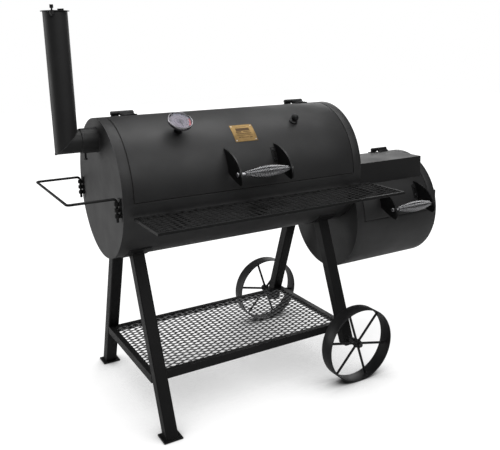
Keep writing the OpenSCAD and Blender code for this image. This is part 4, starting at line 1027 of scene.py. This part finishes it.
# %% Thermometer stem, case and bezel
dial_mid = middle("thermometer_dial")
dial_out = Vector((0.0, dial_mid.y - barrel_axis.y, dial_mid.z - barrel_axis.z)).normalized()
dial_foot = Vector((dial_mid.x, barrel_axis.y, barrel_axis.z)) + dial_out * barrel_r
dial_frame = axes(dial_foot, x_way, dial_out.cross(x_way), dial_out)
DIAL_R, CASE_FOOT, GLASS_TOP = 44.0 * MM, 36.0 * MM, 50.0 * MM

stem_outline = [(0.0, -4 * MM), (15 * MM, -4 * MM), (15 * MM, 10.5 * MM), (13.5 * MM, 12 * MM),
                (10 * MM, 12.5 * MM), (10 * MM, 33 * MM), (12 * MM, 35.9 * MM), (0.0, 35.9 * MM)]
settle("thermometer_stem", placed(turned("stem", stem_outline, 48), dial_frame), "thermometer_case",
       hardware_paint)
probe_outline = [(0.0, -60 * MM), (3 * MM, -60 * MM), (4 * MM, -58.5 * MM), (4 * MM, -4 * MM), (0.0, -4 * MM)]
settle("thermometer_probe", placed(turned("probe", probe_outline, 24), dial_frame), "thermometer_case",
       bezel_metal)

bezel_outline = [(0.0, CASE_FOOT), (DIAL_R - 4 * MM, CASE_FOOT), (DIAL_R - 1.2 * MM, CASE_FOOT + 1.5 * MM),
                 (DIAL_R - 0.8 * MM, CASE_FOOT + 8 * MM), (DIAL_R, CASE_FOOT + 9 * MM),
                 (DIAL_R, GLASS_TOP - 1.6 * MM),
                 (DIAL_R - 0.8 * MM, GLASS_TOP - 0.3 * MM), (DIAL_R - 2.0 * MM, GLASS_TOP),
                 (DIAL_R - 3.4 * MM, GLASS_TOP - 0.6 * MM),
                 (DIAL_R - 4.2 * MM, GLASS_TOP - 1.6 * MM), (DIAL_R - 3.0 * MM, GLASS_TOP - 2.4 * MM),
                 (DIAL_R - 2.8 * MM, CASE_FOOT + 3 * MM), (0.0, CASE_FOOT + 2.8 * MM)]
settle("thermometer_bezel", placed(turned("bezel", bezel_outline, 96), dial_frame), "thermometer_case",
       bezel_metal, ("thermometer_case",))


# %% Dial print
def flat_arc(r0, r1, a0, a1, height, steps=40):
    """A thin raised band between two radii and two angles, in the dial's frame."""
    points, faces = [], []
    for i in range(steps + 1):
        a = math.radians(a0 + (a1 - a0) * i / steps)
        for r, z in ((r0, 0.0), (r1, 0.0), (r1, height), (r0, height)):
            points.append((r * math.cos(a), r * math.sin(a), z))
    for i in range(steps):
        for j in range(4):
            k = (j + 1) % 4
            faces.append((4 * i + j, 4 * i + k, 4 * i + 4 + k, 4 * i + 4 + j))
    faces += [(0, 1, 2, 3), tuple(4 * steps + j for j in (3, 2, 1, 0))]
    return points, faces


FACE = 44.0 * MM
INK = 0.15 * MM
SCALE_START, SCALE_SWEEP = 225.0, 270.0


def dial_band(name, r0, r1, a0, a1, finish):
    points, faces = flat_arc(r0 * MM, r1 * MM, a0, a1, INK)
    mesh = placed(mesh_of(name, points, faces), dial_frame @ Matrix.Translation((0, 0, FACE)))
    settle(name, mesh, "thermometer_dial", finish)


dial_band("dial_hot_zone", 32.5, 38.5, -45.0, 15.0, ink_red)
dial_band("dial_warm_zone", 32.5, 38.5, 18.0, 120.0, ink_grey)
dial_band("dial_outer_ring", 39.0, 40.0, -45.0, 225.0, ink_black)
dial_band("dial_inner_ring", 20.4, 21.4, -45.0, 225.0, ink_black)
dial_band("dial_centre", 2.6, 14.0, -45.0, 314.9, dial_dark)

tick_tree, given, result = new_tree("dial_ticks", count="int", radius="float", start="float", sweep="float",
                                    long="float", wide="float", high="float", paint="material")
tick_seats = grow_node(tick_tree, "GeometryNodePoints", {"Count": given["count"]})
tick_share = tree_math(tick_tree, "DIVIDE", grow_node(tick_tree, "GeometryNodeInputIndex").outputs[0],
                       tree_math(tick_tree, "SUBTRACT", given["count"], 1.0))
tick_angle = tree_math(tick_tree, "SUBTRACT", given["start"],
                       tree_math(tick_tree, "MULTIPLY", tick_share, given["sweep"]))
tick_size = grow_node(tick_tree, "ShaderNodeCombineXYZ",
                      {"X": given["long"], "Y": given["wide"], "Z": given["high"]})
tick_bar = grow_node(tick_tree, "GeometryNodeMeshCube", {"Size": tick_size.outputs[0]})
tick_out = grow_node(tick_tree, "ShaderNodeCombineXYZ", {"X": given["radius"]})
tick_off = grow_node(tick_tree, "GeometryNodeTransform",
                     {"Geometry": tick_bar.outputs["Mesh"], "Translation": tick_out.outputs[0]})
tick_turn = grow_node(tick_tree, "ShaderNodeCombineXYZ", {"Z": tick_angle})
ticks = grow_node(tick_tree, "GeometryNodeInstanceOnPoints", {
    "Points": tick_seats.outputs[0], "Instance": tick_off.outputs[0], "Rotation": tick_turn.outputs[0]})
end_tree(tick_tree, given, result, ticks.outputs[0])
for name, count, radius, long, wide in (("dial_fine_ticks", 55, 37.4, 2.8, 0.45),
                                        ("dial_long_ticks", 11, 35.8, 6.0, 1.3)):
    mesh = grown(name, tick_tree, {
        "count": count, "radius": radius * MM, "start": math.radians(SCALE_START),
        "sweep": math.radians(SCALE_SWEEP),
        "long": long * MM, "wide": wide * MM, "high": 3 * INK, "paint": ink_black})
    settle(name, placed(mesh, dial_frame @ Matrix.Translation((0, 0, FACE + INK))), "thermometer_dial",
           ink_black)

# %% Dial numbers
NUMBER_H = 5.2 * MM
number_points, number_faces = [], []
for i in range(0, 11, 2):
    a = math.radians(SCALE_START - SCALE_SWEEP / 10 * i)
    text = bpy.data.curves.new("number", "FONT")
    text.body = str(50 + 25 * i)
    text.size = NUMBER_H
    text.align_x = "CENTER"
    text.align_y = "CENTER"
    text.extrude = INK
    sign = bpy.data.objects.new("number", text)
    scene.collection.objects.link(sign)
    figure = bpy.data.meshes.new_from_object(sign.evaluated_get(bpy.context.evaluated_depsgraph_get()))
    bpy.data.objects.remove(sign)
    centre = Vector((27.0 * MM * math.cos(a), 27.0 * MM * math.sin(a), FACE + INK))
    start = len(number_points)
    number_points += [tuple(dial_frame @ (v.co + centre)) for v in figure.vertices]
    number_faces += [tuple(start + k for k in p.vertices) for p in figure.polygons]
settle("dial_numbers", mesh_of("dial_numbers", number_points, number_faces), "thermometer_dial", ink_black)

# %% [markdown]
# ## Badge
# The plate on the lid is thin brass, curved to the skin, with a raised rim and a plain pattern of
# darker bars in place of any name. Four small rivets hold its corners.

# %% Badge plate
badge_low, badge_high = low("badge_plate"), high("badge_plate")
badge_a0 = angle_of(barrel_axis, Vector((0, badge_low.y, badge_low.z)))
badge_a1 = angle_of(barrel_axis, Vector((0, badge_high.y, badge_high.z)))
badge_mid_x = (badge_low.x + badge_high.x) / 2
badge_mid_a = (badge_a0 + badge_a1) / 2
BADGE_T = 1.2 * MM


def curved_plate(name, x0, x1, a0, a1, r0, r1, finish, replaces=(), bevel=0.3 * MM):
    """A plate between two radii of the barrel, closed on every side."""
    steps = max(2, math.ceil((a1 - a0) / math.radians(1.0)))
    points, faces = [], []
    for i in range(steps + 1):
        a = a0 + (a1 - a0) * i / steps
        for x, r in ((x0, r0), (x1, r0), (x1, r1), (x0, r1)):
            points.append((x, barrel_axis.y - r * math.cos(a), barrel_axis.z + r * math.sin(a)))
    for i in range(steps):
        for j in range(4):
            k = (j + 1) % 4
            faces.append((4 * i + j, 4 * i + k, 4 * i + 4 + k, 4 * i + 4 + j))
    faces += [(0, 1, 2, 3), tuple(4 * steps + j for j in (3, 2, 1, 0))]
    return settle(name, mesh_of(name, points, faces), "badge_plate", finish, replaces, bevel=bevel)


top_r = barrel_r + BADGE_T
curved_plate("badge_sheet", badge_low.x, badge_high.x, badge_a0, badge_a1, barrel_r, top_r - 0.3 * MM, brass,
             replaces=("badge_plate",))
rim_w, rim_a = 2.4 * MM, 2.4 * MM / barrel_r
for side, (x0, x1, a0, a1) in enumerate((
        (badge_low.x, badge_high.x, badge_a0, badge_a0 + rim_a),
        (badge_low.x, badge_high.x, badge_a1 - rim_a, badge_a1),
        (badge_low.x, badge_low.x + rim_w, badge_a0 + rim_a, badge_a1 - rim_a),
        (badge_high.x - rim_w, badge_high.x, badge_a0 + rim_a, badge_a1 - rim_a))):
    curved_plate(f"badge_rim_{side}", x0, x1, a0, a1, top_r - 0.35 * MM, top_r, brass)
UP = 1.0 * MM / barrel_r
for mark, (dx, da, wide, tall) in enumerate((
        (0, 15, 56, 13), (-20, 4, 22, 5), (14, 4, 30, 3), (0, -4, 60, 3.0), (0, -11, 66, 1.6),
        (-24, -21, 10, 3), (24, -21, 10, 3), (0, -21, 28, 2.4), (0, 28, 40, 1.2))):
    curved_plate(f"badge_mark_{mark}", badge_mid_x + (dx - wide / 2) * MM, badge_mid_x + (dx + wide / 2) * MM,
                 badge_mid_a + (da - tall / 2) * UP, badge_mid_a + (da + tall / 2) * UP,
                 top_r - 0.35 * MM, top_r - 0.1 * MM, brass_dark, bevel=0.0)
inset_x, inset_a = 6.0 * MM, 6.0 * MM / barrel_r
badge_corners = [on_skin(barrel_axis, top_r - 0.3 * MM, x, a)
                 for x in (badge_low.x + inset_x, badge_high.x - inset_x)
                 for a in (badge_a0 + inset_a, badge_a1 - inset_a)]
heads_on("badge_rivets", dome_head("badge_rivet", 2.4 * MM, 1.0 * MM), badge_corners, "badge_plate", zinc)

# %% [markdown]
# ## Welds
# The chimney's mitre and collar and the wheels' spokes are welded. A weld is a row of overlapping
# drops, so a tree resamples a path by length and sets a small ball on every point.

# %% Grow a weld along a path
weld_tree, given, result = new_tree("weld_bead", pitch="float", drop_radius="float", paint="material")
path = grow_node(weld_tree, "GeometryNodeMeshToCurve", {"Mesh": given["Geometry"]})
spaced = grow_node(weld_tree, "GeometryNodeResampleCurve", {
    "Curve": path.outputs[0], "Length": given["pitch"]}, mode="LENGTH")
drop = grow_node(weld_tree, "GeometryNodeMeshUVSphere",
                 {"Segments": 8, "Rings": 5, "Radius": given["drop_radius"]})
beads = grow_node(weld_tree, "GeometryNodeInstanceOnPoints",
                  {"Points": spaced.outputs[0], "Instance": drop.outputs[0]})
end_tree(weld_tree, given, result, beads.outputs[0])


def weld(name, loops, like, finish, radius=2.2 * MM):
    """Rows of weld drops along closed loops of points."""
    route = bpy.data.meshes.new(name + "_route")
    points, edges = [], []
    for loop in loops:
        first, count = len(points), len(loop)
        points += [tuple(p) for p in loop]
        edges += [(first + i, first + (i + 1) % count) for i in range(count)]
    route.from_pydata(points, edges, [])
    mesh = grown(name, weld_tree, {"pitch": 1.15 * radius, "drop_radius": radius, "paint": finish}, route)
    return settle(name, mesh, like, finish, smooth=80.0)


def ring(centre, radius, across, up, steps=72):
    return [centre + across * radius * math.cos(2 * math.pi * i / steps)
            + up * radius * math.sin(2 * math.pi * i / steps)
            for i in range(steps)]


y_way, z_way = Vector((0.0, 1.0, 0.0)), Vector((0.0, 0.0, 1.0))
collar = middle("stack_collar")
collar_r = (high("stack_collar").y - low("stack_collar").y) / 2
weld("collar_weld", [ring(Vector((barrel_x[0], collar.y, collar.z)), collar_r, y_way, z_way)],
     "stack_collar", chimney_paint)

stack_x, stack_z = middle("stack_tube").x, collar.z
stack_r = (high("stack_elbow").y - low("stack_elbow").y) / 2
mitre_long = Vector((1.0, 0.0, 1.0))
mitre_centre = Vector((stack_x, barrel_axis.y, stack_z))
mitre_loop = [mitre_centre + mitre_long * stack_r * math.cos(t) + y_way * stack_r * math.sin(t)
              for t in [2 * math.pi * i / 72 for i in range(72)]]
weld("mitre_weld", [mitre_loop], "stack_tube", chimney_paint, radius=1.5 * MM)
for wheel in ("wheel_front", "wheel_rear"):
    centre = middle(wheel)
    loops = []
    for i in range(SPOKES):
        a = FIRST_SPOKE + 2 * math.pi * i / SPOKES
        way = Vector((math.cos(a), 0.0, math.sin(a)))
        side = Vector((-math.sin(a), 0.0, math.cos(a)))
        loops += [ring(centre + way * r, SPOKE_R, side, y_way, 16) for r in (HUB_R, centre.z - BAND)]
    weld(wheel + "_spoke_welds", loops, wheel, wheel_paint, radius=1.4 * MM)
